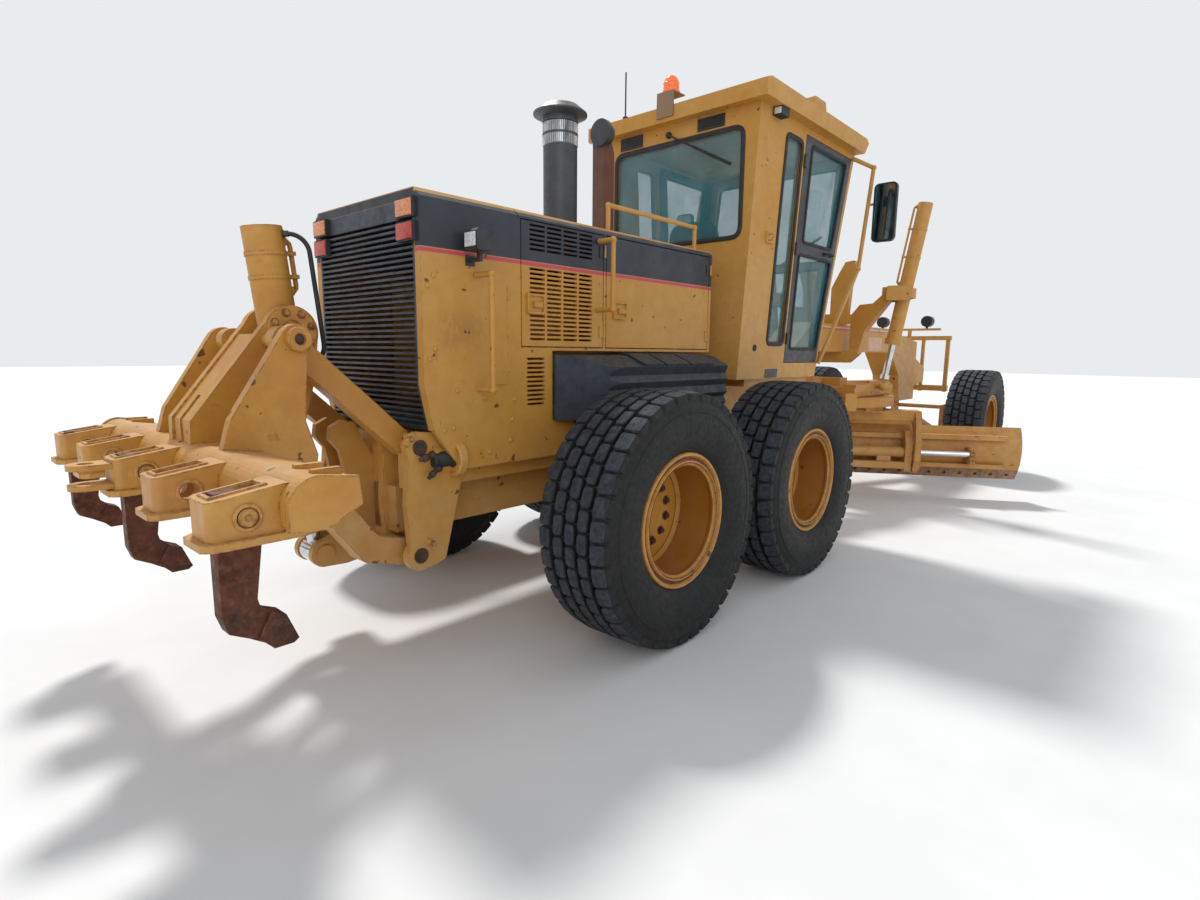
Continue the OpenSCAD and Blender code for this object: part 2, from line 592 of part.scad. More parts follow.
module cab() color(yellow) difference() {
    union() {
        difference() {
            cab_solid(0);
            intersection() {
                cab_solid(cab_wall);
                box([cab_rear, 2500], [-800, 800], [cab_z[0] + cab_wall, cab_z[1] - 20]);
            }
        }
        // roof slab
        side(-roof_half, roof_half) polygon([[700, cab_z[1]], [700, roof_top - 20], [760, roof_top], [2480, roof_top], [2530, roof_top - 30], [2450, cab_z[1]]]);
    }
    both() side(500, 800) polygon(door_open);
    both() side_window();
    // rear window and vents, windshield and lower front panes
    rounded_window([-600, 570], [2350, pane_top - 30], 70);
    box([1900, 2500], [-600, 600], [2330, pane_top + 10]);
    box([1900, 2500], [-540, -60], [1560, 2270]);
    box([1900, 2500], [60, 540], [1560, 2270]);
}
module cab_door_panel() difference() {
    intersection() {
        side(500, 800) polygon([[1500 + gap, 1450 + gap], [2115 - gap - 2, 1450 + gap], [2385 - gap, door_top - gap], [1500 + gap, door_top - gap]]);
        across(1490, 2400) difference() {
            cab_section(0);
            cab_section(cab_wall);
        }
    }
    side(500, 800) polygon([[1620, 2410], [2170, 2410], [2285, pane_top], [1620, pane_top]]);
    side(500, 800) polygon([[1580, 1565], [2085, 1565], [2190, 2310], [1580, 2310]]);
}
// hinge barrels along the leaning rear edge of the cab door
cab_lean = (cab_y[1] - cab_y[0]) / (cab_z[1] + 1 - cab_z[0]);
function cab_face(z) = cab_y[0] + cab_lean * (z - cab_z[0]);
module door_hinges() for (z = [1600, 2300, cab_z[1] - 286]) {
    rod([1500, cab_face(z) + 12, z], [1500, cab_face(z + 90) + 12, z + 90], 22);
    side(cab_face(z) - 3, cab_face(z) + 12) polygon([[1500, z], [1545, z], [1545, z + 90], [1500, z + 90]]);
}
module cab_door() color(black) {
    cab_door_panel();
    door_hinges();
}
module cab_seat() color("#24272b") {
    box([1150, 1650], [-240, 240], [1750, 1870]);
    side(-230, 230) polygon([[1080, 1800], [1200, 1869], [1150, 2560], [1050, 2560]]);
    box([1250, 1550], [-150, 150], [cab_z[0] + cab_wall + seat, 1751]);
    // console and steering wheel
    side(-110, 110) polygon([[1900, cab_z[0] + cab_wall + seat], [2020, cab_z[0] + cab_wall + seat], [1990, 1900], [1870, 2075], [1825, 2060], [1900, 1850]]);
    translate([1850, 0, 2070]) rotate([0, -35, 0]) rotate_extrude() translate([200, 0]) circle(d = 26);
    translate([1850, 0, 2070]) rotate([0, -35, 0]) {
        cylinder(d = 60, h = 30, center = true);
        for (a = [0:120:240]) rotate([0, 0, a]) translate([0, -12, -6]) cube([200, 24, 12]);
    }
}
module mirrors_lamps() color(black) {
    both() mirror_arm();
    headlamps();
    // lamps under the roof's sides, a roof vent, the aerial and the beacon's bracket
    both() box([950, 1060], [733, 800], [cab_z[1] - 58, cab_z[1] - seat]);
    side(-795, -620) polygon([[1450, roof_top + seat], [1475, roof_top + 75], [1655, roof_top + 75], [1680, roof_top + seat]]);
    pin_z(785, 488, 44, roof_top + seat, roof_top + 24);
    pin_z(785, 488, 12, roof_top + 20, roof_top + 360);
    box([688, 700 - seat], [-50, 100], [roof_top - 100, roof_top + 80]);
    box([688, 840], [-50, 100], [roof_top + 72, roof_top + 80]);
}
// warning beacon: a base with a ribbed dome
module beacon() color("#d9642a") translate([765, 25, roof_top + 80 + seat]) rotate_extrude()
    polygon(concat([[0, 0], [66, 0], [66, 20], [58, 24], [58, 40], [61, 44], [58, 48], [58, 70], [61, 74], [57, 78]],
        arc(0, 78, 56, 8, 90, 4)));
module mirror_arm() {
    top = cab_z[1] - 56;
    p = [[2400, 790, top], [2500, 880, top - 60], [2300, 880, 2250]];
    rod([2400, cab_face(top + 15) + 12, top + 15], p[1], 34);
    rod(p[1], p[2], 34);
    rod(p[2], [2135, cab_face(1440) + 16.9, 1440], 34);
    for (i = [1, 2]) translate(p[i]) sphere(d = 46);
    // mirror head with round corners
    across(2410, 2450) {
        translate([970, 2480]) square([110, 480]);
        translate([930, 2520]) square([190, 400]);
        for (y = [970, 1080], z = [2520, 2920]) translate([y, z]) circle(r = 40);
    }
    rod([2430, 880, 2800], [2430, 940, 2800], 20);
}
module headlamps() {
    both() translate([nose - 100, 300, 1985]) rotate([0, 90, 0]) cylinder(d = 150, h = 110);
    both() box([nose - 70, nose - 50], [285, 315], [1890 + seat, 1920]);
}

// Front axle: the beam hangs in the nose and carries the lean carriers
king_y = track_half - 280;
lean_y = king_y - 90;
lean_z = 500;
module front_axle() color(yellow) {
    difference() {
        union() {
            across(wheelbase - 90, wheelbase + 90) polygon([[140 - lean_y, 560], [140 - lean_y, 440], [60 - lean_y, 430], [lean_y - 60, 430], [lean_y - 140, 440],
                [lean_y - 140, 560], [250, 765], [-250, 765]]);
            box([wheelbase - 70, wheelbase + 70], [-lean_y, lean_y], [lean_z - 60, lean_z + 60]);
        }
        both() box([wheelbase - 41, wheelbase + 41], [lean_y - 75, lean_y + 100], [lean_z - 200, lean_z + 200]);
    }
    both() pin_x(lean_y - 10, lean_z, 60, wheelbase - 75, wheelbase + 75);
    pin_x(0, 700, 120, wheelbase - 130, wheelbase + 130);
    both() box([wheelbase - 140, wheelbase + 20], [60, 110], [640, 900 - seat]);
}
module lean_carrier() color(yellow) difference() {
    union() {
        box([wheelbase - 35, wheelbase + 35], [lean_y - 50, lean_y], [lean_z - 35, 860]);
        pin_x(lean_y - 10, lean_z, 100, wheelbase - 35, wheelbase + 35);
        for (z = [[500, 545], [795, 840]]) {
            box([wheelbase - 35, wheelbase + 35], [lean_y - 50, king_y], z);
            box([wheelbase - 50, wheelbase + 50], [lean_y + 35, king_y + 45], z);
        }
        pin_z(wheelbase, king_y, 60, 500, 840);
    }
    pin_x(lean_y - 10, lean_z, 60 + 2 * fit, wheelbase - 100, wheelbase + 100);
    pin_x(lean_y - 10, 830, 40 + 2 * fit, wheelbase - 100, wheelbase + 100);
}
module knuckle() color(yellow) difference() {
    union() {
        pin_z(wheelbase, king_y, 110, 551, 789);
        pin_y(wheelbase, axle_z, 130, king_y + 10, track_half - 95 - seat);
        // steering arm to the rear, with the stud of the tie rod
        box([wheelbase - 280, wheelbase], [king_y - 20, king_y + 20], [600, 640]);
        pin_z(tie_x, tie_y, 90, 600, 640);
        pin_z(tie_x, tie_y, 36, tie_z - 25, 610);
    }
    pin_z(wheelbase, king_y, 60 + 2 * fit, 500, 850);
}
module lean_bar() color(yellow) {
    difference() {
        union() {
            rod([wheelbase + 60, -lean_y + 10, 830], [wheelbase + 60, lean_y - 10, 830], 50);
            both() pin_x(lean_y - 10, 830, 80, wheelbase + 42, wheelbase + 78);
        }
    }
    both() pin_x(lean_y - 10, 830, 40, wheelbase - 40, wheelbase + 60);
}
tie_x = wheelbase - 280;
tie_z = 530;
tie_y = king_y;
// the right end piece turns on the steering arm's stud, and the rod swings in it as the wheels lean
module tie_end() color(yellow) difference() {
    union() {
        pin_z(tie_x, -tie_y, 84, tie_z - 25, 599);
        pin_x(-tie_y, tie_z, 40, tie_x - 62, tie_x + 62);
    }
    pin_z(tie_x, -tie_y, 36 + 2 * fit, 500, 650);
}
module tie_rod() color(yellow) {
    difference() {
        union() {
            for (m = [-1, 1]) box([tie_x + m * 54 - 9, tie_x + m * 54 + 9], [-tie_y - 28, -tie_y + 70], [tie_z - 28, tie_z + 28]);
            box([tie_x - 63, tie_x + 63], [-tie_y + 52, -tie_y + 90], [tie_z - 28, tie_z + 28]);
        }
        pin_x(-tie_y, tie_z, 40 + 2 * fit, tie_x - 80, tie_x + 80);
    }
    rod([tie_x, -tie_y + 80, tie_z], [tie_x, tie_y - 42, tie_z], 40);
    // the left eye has room round its stud
    difference() {
        pin_z(tie_x, tie_y, 98, tie_z - 13, tie_z + 13);
        pin_z(tie_x, tie_y, 70, tie_z - 30, tie_z + 30);
    }
}
// Drawbar, circle and blade

ball_x = nose - 800;
ring_z = [979, 1079];
ball_z = 1000;
module drawbar_ball() color(yellow) difference() {
    union() {
        pin_z(ball_x, 0, 110, 905, 1095);
        pin_z(ball_x, 0, 60, 868, 1132);
        pin_y(ball_x, ball_z, 80, -130, 130);
    }
}
module drawbar() color(yellow) {
    difference() {
        union() {
            plan(1085, 1185) difference() {
                polygon([[ball_x - 100, -60], [ball_x - 100, 60], [4400, 560], [3250, 560], [3250, -560], [4400, -560]]);
                polygon([[ball_x - 500, 0], [4450, 330], [4450, -330]]);
            }
            both() {
                box([3280, 4300], [440, 560], [1184, 1210]);
                // ball studs for the lift rods
                pin_y(lift_eye[0], lift_eye[2], 50, 555, lift_eye[1]);
                translate(lift_eye) sphere(d = 100);
                // forks to the ball
                box([ball_x - 140, ball_x], [96, 130], [960, 1040]);
                pin_y(ball_x, ball_z, 120, 96, 130);
                box([ball_x - 220, ball_x - 100], [40, 130], [960, 1185]);
            }
            box([3500, 3700], [-300, 300], [1184, 1270]);
            pin_z(circle_x - 220, 0, 220, 1184, 1275);
        }
        pin_y(ball_x, ball_z, 80 + 2 * fit, -200, 200);
    }
    // shoes that carry the circle
    for (a = [45:90:315]) rotate_about(circle_x, a) {
        box([circle_r + 4, circle_r + 44], [-60, 60], [960, 1130]);
        box([circle_r - 30, circle_r + 44], [-60, 60], [950, ring_z[0] - seat]);
        box([circle_r - 300, circle_r + 44], [-60, 60], [1085, 1130]);
    }
}
module rotate_about(x, a) translate([x, 0, 0]) rotate([0, 0, a]) children();
module turning_circle() color(yellow) {
    difference() {
        pin_z(circle_x, 0, 2 * circle_r, ring_z[0], ring_z[1]);
        pin_z(circle_x, 0, 2 * circle_r - 200, ring_z[0] - 10, ring_z[1] + 10);
    }
    in_blade_frame() {
        // yoke beams under the circle, their spacers, and the two arms behind the blade
        difference() {
            union() {
                box([-430, -250], [-960, 960], [840, 940]);
                both() box([-300, 560], [400, 470], [840, 940]);
                difference() {
                    box([-600, 600], [-600, 600], [930, ring_z[0] + 1]);
                    box([-420, 480], [-700, 700], [900, 1000]);
                    both() box([-700, 700], [-390, 390], [900, 1000]);
                    cylinder(r = circle_r - 95, h = 3000);
                }
            }
            difference() {
                translate([0, 0, 941]) cylinder(r = 1500, h = 60);
                translate([0, 0, 900]) cylinder(r = circle_r - 40, h = 200);
            }
        }
        both() difference() {
            side(910, 970) {
                polygon([[-430, 940], [-210, 940], [-230, 860], [-340, 780], [-458, 650], [-458, 410], [-380, 345], [-490, 345],
                    [-535, 430], [-535, 640], [-490, 840]]);
                translate(tip_pin) circle(r = 60);
            }
            pin_y(tip_pin[0], tip_pin[1], 50 + 2 * fit, 900, 1000);
        }
    }
}
// the blade's own frame: X forward across it, Y to the left along it, origin at the circle's centre
module in_blade_frame() translate([circle_x, 0, 0]) rotate([0, 0, blade_yaw]) children();
edge_x = -160;
mold_r = 413;
tip_pin = [-430, 345];
rail_back = -316;
top_rail = [640, 690];
low_rail = [340, 385];
shift_rod = [-400, 500];
module blade_carriage() color(yellow) in_blade_frame() {
    f = rail_back - seat;
    difference() {
        both() side(830, 900) polygon([[-470, 300], [-340, 300], [-290, 306], [-290, low_rail[0] - seat], [f, low_rail[0] - seat], [f, top_rail[1] + seat],
        [-290, top_rail[1] + seat], [-290, 722], [-400, 722], [-480, 600]]);
        pin_y(shift_rod[0], shift_rod[1], 60 + 2 * gap, -950, -700);
    }
    difference() {
        union() {
            box([-470, -400], [-830, 830], [330, 400]);
            box([-440, -370], [-700, -560], [399, 460]);
            box([-440, -370], [150, 290], [399, 460]);
            pin_y(shift_rod[0], shift_rod[1], 110, -830, 450);
        }
        pin_y(shift_rod[0], shift_rod[1], 60 + 2 * fit, -900, 430);
    }
    both() pin_y(tip_pin[0], tip_pin[1], 50, 890, 990);
}
// moldboard profile: an arc that is open to the front, from the edge to the top
mold_c = [edge_x + 300, 520];
module moldboard() color(yellow) in_blade_frame() translate([0, blade_shift, 0]) {
    h = blade_l / 2;
    side(-h, h) polygon(concat(arc(mold_c[0], mold_c[1], mold_r, 218, 142, 10), arc(mold_c[0], mold_c[1], mold_r - 22, 142, 218, 10)));
    // cutting edge and end bits
    side(-h, h) polygon([[edge_x - 44, 318], [edge_x, blade_lift], [edge_x + 16, blade_lift + 6], [edge_x - 20, 330]]);
    // slide rails on the back
    side(-h + 160, h - 160) polygon([[rail_back, top_rail[0]], [-240, top_rail[0] - 15], [-226, top_rail[1]], [rail_back, top_rail[1]]]);
    side(-h + 160, h - 160) polygon([[rail_back, low_rail[0]], [-222, low_rail[0]], [-240, low_rail[1]], [rail_back, low_rail[1]]]);
    // clamp and side shift rod
    box([-430, -250], [-1640, -1590], [400, 560]);
    pin_y(shift_rod[0], shift_rod[1], 60, -1600, -120);
}
module lift_barrel() color(yellow) {
    hollow_barrel(lift_top, lift_eye, 1450, 140, 64 + 2 * fit);
    at_yoke() rotate([0, 0, stud_turn]) translate([-108, 0, 0]) rotate([0, 90, 0]) cylinder(d = 40, h = 216);
}
eye_room = 80;      // from the stud's middle to the rod's end
module lift_rod() color(steel) {
    n = norm(lift_eye - lift_top);
    rod(along(lift_top, lift_eye, 1250), along(lift_top, lift_eye, n - eye_room - 4), 64);
    rod(along(lift_top, lift_eye, n - eye_room - 46), along(lift_top, lift_eye, n - eye_room), 92);
}
here() rear_frame();
here() tandem_cases();
here() engine();
here() hood();
here() grille();
here() tail_lamps();
here() fenders();
here() exhaust();
here() mirror([0, 1, 0]) engine_door();  // engine_door_r
here() engine_door();  // engine_door_l
here() mirror([0, 1, 0]) louvre_panel();  // louvre_door_r
here() louvre_panel();  // louvre_door_l
here() wheel_at(-tandem_half, -1) tyre();  // tyre_rr
here() wheel_at(-tandem_half, 1) tyre();  // tyre_rl
here() wheel_at(tandem_half, -1) tyre();  // tyre_mr
here() wheel_at(tandem_half, 1) tyre();  // tyre_ml
here() wheel_at(wheelbase, -1) tyre();  // tyre_fr
here() wheel_at(wheelbase, 1) tyre();  // tyre_fl
here() wheel_at(-tandem_half, -1) rim();  // rim_rr
here() wheel_at(-tandem_half, 1) rim();  // rim_rl
here() wheel_at(tandem_half, -1) rim();  // rim_mr
here() wheel_at(tandem_half, 1) rim();  // rim_ml
here() wheel_at(wheelbase, -1) rim();  // rim_fr
here() wheel_at(wheelbase, 1) rim();  // rim_fl
here() ripper_arms();
here() ripper_links();
here() ripper_beam();
here() ripper_shanks();
here() ripper_barrel();
here() ripper_rod();
here() front_frame();
here() lift_arms();
here() cab();
here() cab_seat();
here() mirror([0, 1, 0]) cab_door();  // cab_door_r
here() cab_door();  // cab_door_l
here() mirrors_lamps();
here() beacon();
here() front_axle();
here() mirror([0, 1, 0]) lean_carrier();  // lean_carrier_r
here() lean_carrier();  // lean_carrier_l
here() mirror([0, 1, 0]) knuckle();  // knuckle_r
here() knuckle();  // knuckle_l
here() lean_bar();
here() tie_end();
here() tie_rod();
here() drawbar_ball();
here() drawbar();
here() turning_circle();
here() blade_carriage();
here() moldboard();
here() mirror([0, 1, 0]) lift_ring();  // lift_ring_r
here() lift_ring();  // lift_ring_l
here() mirror([0, 1, 0]) lift_barrel();  // lift_barrel_r
here() lift_barrel();  // lift_barrel_l
here() mirror([0, 1, 0]) lift_rod();  // lift_rod_r
here() lift_rod();  // lift_rod_l
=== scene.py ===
import math

import bmesh
import bpy
from mathutils import Matrix, Vector


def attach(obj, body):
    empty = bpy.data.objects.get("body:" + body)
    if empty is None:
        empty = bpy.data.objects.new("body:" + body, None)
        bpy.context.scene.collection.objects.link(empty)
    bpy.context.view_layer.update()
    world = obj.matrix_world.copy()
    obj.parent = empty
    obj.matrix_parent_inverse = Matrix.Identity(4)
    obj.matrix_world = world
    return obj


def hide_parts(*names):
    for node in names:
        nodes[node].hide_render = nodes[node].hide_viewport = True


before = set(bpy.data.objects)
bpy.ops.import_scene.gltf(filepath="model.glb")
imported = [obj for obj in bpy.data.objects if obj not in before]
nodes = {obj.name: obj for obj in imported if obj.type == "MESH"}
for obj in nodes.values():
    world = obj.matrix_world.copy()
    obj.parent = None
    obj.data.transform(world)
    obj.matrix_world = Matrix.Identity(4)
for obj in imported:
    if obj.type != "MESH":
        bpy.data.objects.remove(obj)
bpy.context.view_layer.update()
print("frame loaded:", len(nodes), "nodes")

scene = bpy.context.scene
stationShift = 2047.5  # millimetres from the tandem pivot back to the frame's origin
sides = ((-1, "r"), (1, "l"))


def at(x, y, z):
    # a station point in millimetres, in the frame's metres
    return Vector(((x - stationShift) / 1000, y / 1000, z / 1000))


def newObject(name, data):
    obj = bpy.data.objects.new(name, data)
    scene.collection.objects.link(obj)
    return obj


def plainMesh(obj, name):
    # the evaluated result as a mesh of its own
    bpy.context.view_layer.update()
    shown = obj.evaluated_get(bpy.context.evaluated_depsgraph_get())
    mesh = bpy.data.meshes.new_from_object(shown)
    mesh.name = name
    return mesh


def around(count, radius=1.0, phase=0.0):
    # evenly spaced places on a circle as pairs; phase is a share of one step
    turns = [2 * math.pi * (k + phase) / count for k in range(count)]
    return [(radius * math.cos(a), radius * math.sin(a)) for a in turns]


# camera
cameraSetup = {
    "station": (-3490, -3109, 1528),
    "yaw": 41.906,
    "pitch": -8.581,
    "roll": 0.557,
    "lens": 19.592,
    "sensor": 36,
    "near": 0.05, "far": 200,
}


def placeCamera():
    yaw, pitch, roll = (math.radians(cameraSetup[k]) for k in ("yaw", "pitch", "roll"))
    ahead = Vector((math.cos(yaw) * math.cos(pitch), math.sin(yaw) * math.cos(pitch), math.sin(pitch)))
    right = Vector((math.sin(yaw), -math.cos(yaw), 0))
    up = right.cross(ahead)
    tiltRight = math.cos(roll) * right + math.sin(roll) * up
    tiltUp = -math.sin(roll) * right + math.cos(roll) * up
    m = Matrix.Identity(4)
    for i in range(3):
        m[i][0], m[i][1], m[i][2] = tiltRight[i], tiltUp[i], -ahead[i]
    m.translation = at(*cameraSetup["station"])
    data = bpy.data.cameras.new("camera")
    data.sensor_width = cameraSetup["sensor"]
    data.lens = cameraSetup["lens"]
    data.clip_start, data.clip_end = cameraSetup["near"], cameraSetup["far"]
    camera = newObject("camera", data)
    camera.matrix_world = m
    scene.camera = camera


placeCamera()

# the hose on the ripper's mast, from the port at the top of its barrel down to the one under the trunnion
mastHoseForm = {
    "trunnion": (-2222, 0, 1600), "eye": (-2110, 0, 550), "side": (1, -0.8, 0),
    "top": -425, "bottom": 150, "port": 92, "bend": 85, "bendSteps": 9, "straight": 8, "thick": 21,
}


def mastPoint(along, out):
    # a point by its distance down the barrel from the trunnion and out from the barrel's axis, in mm
    f = mastHoseForm
    start = at(*f["trunnion"])
    down = (at(*f["eye"]) - start).normalized()
    side = Vector(f["side"])
    side = (side - down * side.dot(down)).normalized()
    return start + (down * along + side * out) / 1000


def makeMastHose():
    f = mastHoseForm
    far, bend = f["port"] + f["straight"], f["bend"]
    turns = [math.pi / 2 * k / f["bendSteps"] for k in range(f["bendSteps"] + 1)]
    corner = [(bend * math.sin(a), bend * (1 - math.cos(a))) for a in turns]
    route = [(f["top"], f["port"])] + [(f["top"] + down, far + out) for out, down in corner]
    route += [(f["bottom"] - down, far + out) for out, down in reversed(corner)] + [(f["bottom"], f["port"])]
    points = [mastPoint(*place) for place in route]
    curve = bpy.data.curves.new("mastHose", "CURVE")
    curve.dimensions = "3D"
    curve.bevel_depth = f["thick"] / 2000
    curve.bevel_resolution = 6
    curve.use_fill_caps = True
    spline = curve.splines.new("POLY")
    spline.points.add(len(points) - 1)
    for point, place in zip(spline.points, points):
        point.co = (*place, 1)
    line = newObject("mastHoseLine", curve)
    mesh = plainMesh(line, "mastHose")
    bpy.data.objects.remove(line)
    mesh.shade_smooth()
    piece = newObject("mastHose", mesh)
    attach(piece, "ripper_barrel")
    return piece


mastHose = makeMastHose()


# building blocks of the node trees
def setSocket(tree, socket, value):
    # links a socket to another node's, or sets its value
    if isinstance(value, bpy.types.NodeSocket):
        tree.links.new(value, socket)
    else:
        socket.default_value = value


def addNode(tree, kind, **settings):
    node = tree.nodes.new(kind)
    for key, value in settings.items():
        if key in node.inputs:
            setSocket(tree, node.inputs[key], value)
        else:
            setattr(node, key, value)
    return node


def calc(tree, operation, *values):
    node = addNode(tree, "ShaderNodeMath", operation=operation)
    for socket, value in zip(node.inputs, values):
        setSocket(tree, socket, value)
    return node.outputs[0]


def times(tree, a, b):
    return calc(tree, "MULTIPLY", a, b)


def newMaterial(name):
    mat = bpy.data.materials.new(name)
    mat.use_nodes = True
    return mat, mat.node_tree


def setShader(tree, **values):
    # sets or links the shader's inputs, whose labels are written without their spaces
    sockets = {socket.name.replace(" ", ""): socket for socket in tree.nodes["Principled BSDF"].inputs}
    for key, value in values.items():
        setSocket(tree, sockets[key], value)


def objectPlace(tree):
    for node in tree.nodes:
        if node.type == "TEX_COORD":
            return node.outputs["Object"]
    return addNode(tree, "ShaderNodeTexCoord").outputs["Object"]


def placeOn(tree, axis="Z"):
    for node in tree.nodes:
        if node.type == "SEPXYZ" and node.label == "place":
            return node.outputs[axis]
    split = addNode(tree, "ShaderNodeSeparateXYZ", label="place")
    tree.links.new(objectPlace(tree), split.inputs[0])
    return split.outputs[axis]


def facing(tree, axis="Z"):
    split = addNode(tree, "ShaderNodeSeparateXYZ")
    tree.links.new(addNode(tree, "ShaderNodeNewGeometry").outputs["Normal"], split.inputs[0])
    return split.outputs[axis]


def noiseOf(tree, scale, detail=4, rough=0.6, stretch=None, seed=0):
    place = objectPlace(tree)
    if stretch or seed:
        shift = (seed * 3.7, seed * 1.9, seed * 5.3)
        mapping = addNode(tree, "ShaderNodeMapping", Scale=stretch or (1, 1, 1), Location=shift, Vector=place)
        place = mapping.outputs["Vector"]
    noise = addNode(tree, "ShaderNodeTexNoise", Scale=scale, Detail=detail, Roughness=rough, Vector=place)
    return noise.outputs["Fac"]


def spread(tree, value, low, high, soft=0.0, hard=1.0):
    # a smooth step from soft to hard while the value goes from low to high
    node = addNode(tree, "ShaderNodeMapRange", interpolation_type="SMOOTHSTEP", Value=value,
                   **{"From Min": low, "From Max": high, "To Min": soft, "To Max": hard})
    return node.outputs["Result"]


def patches(tree, seed, noise, limits, stretch=None):
    # noise of a scale, detail and roughness, spread over its limits
    return spread(tree, noiseOf(tree, *noise, stretch, seed), *limits)


def blend(tree, amount, first, second):
    node = addNode(tree, "ShaderNodeMix", data_type="RGBA")
    for i, value in ((0, amount), (6, first), (7, second)):
        setSocket(tree, node.inputs[i], value)
    return node.outputs[2]


def window(tree, value, low, high, edge=0.002):
    inside = spread(tree, value, low - edge, low + edge)
    above = spread(tree, value, high - edge, high + edge)
    return calc(tree, "SUBTRACT", inside, above)


def zoneMask(tree, limits, edge=0.003):
    # 1 inside a box of station metres; X and Z are plain, side is the distance from the middle plane
    mask = None
    for axis, (low, high) in limits.items():
        value = placeOn(tree, "Y" if axis == "side" else axis)
        if axis == "side":
            value = calc(tree, "ABSOLUTE", value)
        shift = stationShift / 1000 if axis == "X" else 0
        part = window(tree, value, low - shift, high - shift, edge)
        mask = times(tree, mask, part) if mask else part
    return mask


def edgeMask(tree, radius):
    # where the rounded normal leaves the flat one, near an edge
    bevel = addNode(tree, "ShaderNodeBevel", samples=4, Radius=radius)
    dot = addNode(tree, "ShaderNodeVectorMath", operation="DOT_PRODUCT")
    tree.links.new(bevel.outputs[0], dot.inputs[0])
    tree.links.new(addNode(tree, "ShaderNodeNewGeometry").outputs["Normal"], dot.inputs[1])
    return spread(tree, calc(tree, "SUBTRACT", 1.0, dot.outputs["Value"]), 0.02, 0.12)


def bumpOf(tree, value, strength, distance):
    bump = addNode(tree, "ShaderNodeBump", Strength=strength, Distance=distance, Height=value)
    setShader(tree, Normal=bump.outputs[0])


def srgb(r, g, b):
    def linear(c):
        c /= 255
        return c / 12.92 if c < 0.04045 else ((c + 0.055) / 1.055) ** 2.4

    return (linear(r), linear(g), linear(b), 1)


colours = {
    "paint": srgb(194, 140, 56),
    "fadedPaint": srgb(199, 152, 82),
    "deepPaint": srgb(164, 106, 32),
    "tintedPaint": srgb(178, 116, 54),
    # darker tone for the rim's barrel: painted shade, deeper than the rim's own paint
    "rimWell": srgb(154, 98, 26),
    "rimLip": srgb(188, 130, 42),
    "rust": srgb(112, 60, 34),
    "darkRust": srgb(66, 36, 24),
    "dust": srgb(178, 160, 134),
    "blackPaint": srgb(46, 49, 56),
    "greyPaint": srgb(72, 79, 90),
    "stripe": srgb(190, 74, 86),
    "paleStripe": srgb(206, 196, 184),
    "bareSteel": srgb(142, 136, 128),
    "plated": srgb(206, 206, 208),
    "rubber": srgb(34, 34, 35),
    "rubberDust": srgb(116, 108, 96),
    "beaconFoot": srgb(142, 112, 88),
    "rustyDuct": srgb(112, 70, 54),
    "glassDust": srgb(206, 212, 208),
}

# places of the finishes in station metres; side is the distance from the middle plane
beyond = 20.0
zones = {
    "hoodBand": {"side": (0.458, 0.512), "Z": (1.988, 2.224)},
    "hoodStripe": {"side": (0.458, 0.512), "Z": (1.965, 1.984)},
    "headerPlate": {"X": (-1.9, -1.785), "side": (-0.1, 0.46), "Z": (2.197, 2.240)},
    "hoodStain": {"X": (-1.70, -1.44), "Z": (1.53, 1.71), "side": (0.49, 0.51)},
    "archLine": {"X": (3.1, 5.45), "side": (0.168, 0.172), "Z": (1.79, 1.806)},
    "archPale": {"X": (3.1, 5.45), "side": (0.168, 0.172), "Z": (1.806, 1.818)},
    "cuttingEdge": {"Z": (0.1, 0.325)},
    # the rim's barrel, where painted shade darkens the paint
    "rimWell": {"side": (1.0125, 1.238)},
    "rimLip": {"side": (0.99, 1.0125)},
    "mirrors": {"side": (0.925, beyond)},
    "roofLamps": {"X": (0.93, 1.08), "side": (0.73, 0.81)},
    "headLamps": {"X": (6.3, beyond), "side": (0.2, 0.4)},
    "workLamps": {"X": (0.6, 0.9), "side": (0.4, 0.6)},
    "beaconFoot": {"X": (0.6, 0.85), "side": (-0.1, 0.12)},
    "duct": {"X": (-0.1, 0.3), "Z": (0, 2.925)},
    "ductBack": {"X": (0.12, 0.3), "Z": (0, beyond)},
}
# the blade's side shift rod, in the blade's own frame and millimetres
shiftRod = {"yaw": 30, "centreX": 3720, "u": -400, "z": 500, "radius": 31, "from": -1467, "to": 5}


def inZones(pairs):
    return [(zones[zone], colours[colour]) for zone, colour in (pairs or {}).items()]


def rodMask(tree, rod):
    # 1 within a rod that lies level along the blade, which is yawed about the circle's centre
    cos, sin = math.cos(math.radians(rod["yaw"])), math.sin(math.radians(rod["yaw"]))
    x = calc(tree, "SUBTRACT", placeOn(tree, "X"), (rod["centreX"] - stationShift) / 1000)
    y = placeOn(tree, "Y")
    u = calc(tree, "ADD", times(tree, x, cos), times(tree, y, sin))
    v = calc(tree, "SUBTRACT", times(tree, y, cos), times(tree, x, sin))
    du = calc(tree, "POWER", calc(tree, "SUBTRACT", u, rod["u"] / 1000), 2.0)
    dz = calc(tree, "POWER", calc(tree, "SUBTRACT", placeOn(tree), rod["z"] / 1000), 2.0)
    near = calc(tree, "LESS_THAN", calc(tree, "ADD", du, dz), (rod["radius"] / 1000) ** 2)
    return times(tree, near, window(tree, v, rod["from"] / 1000, rod["to"] / 1000))


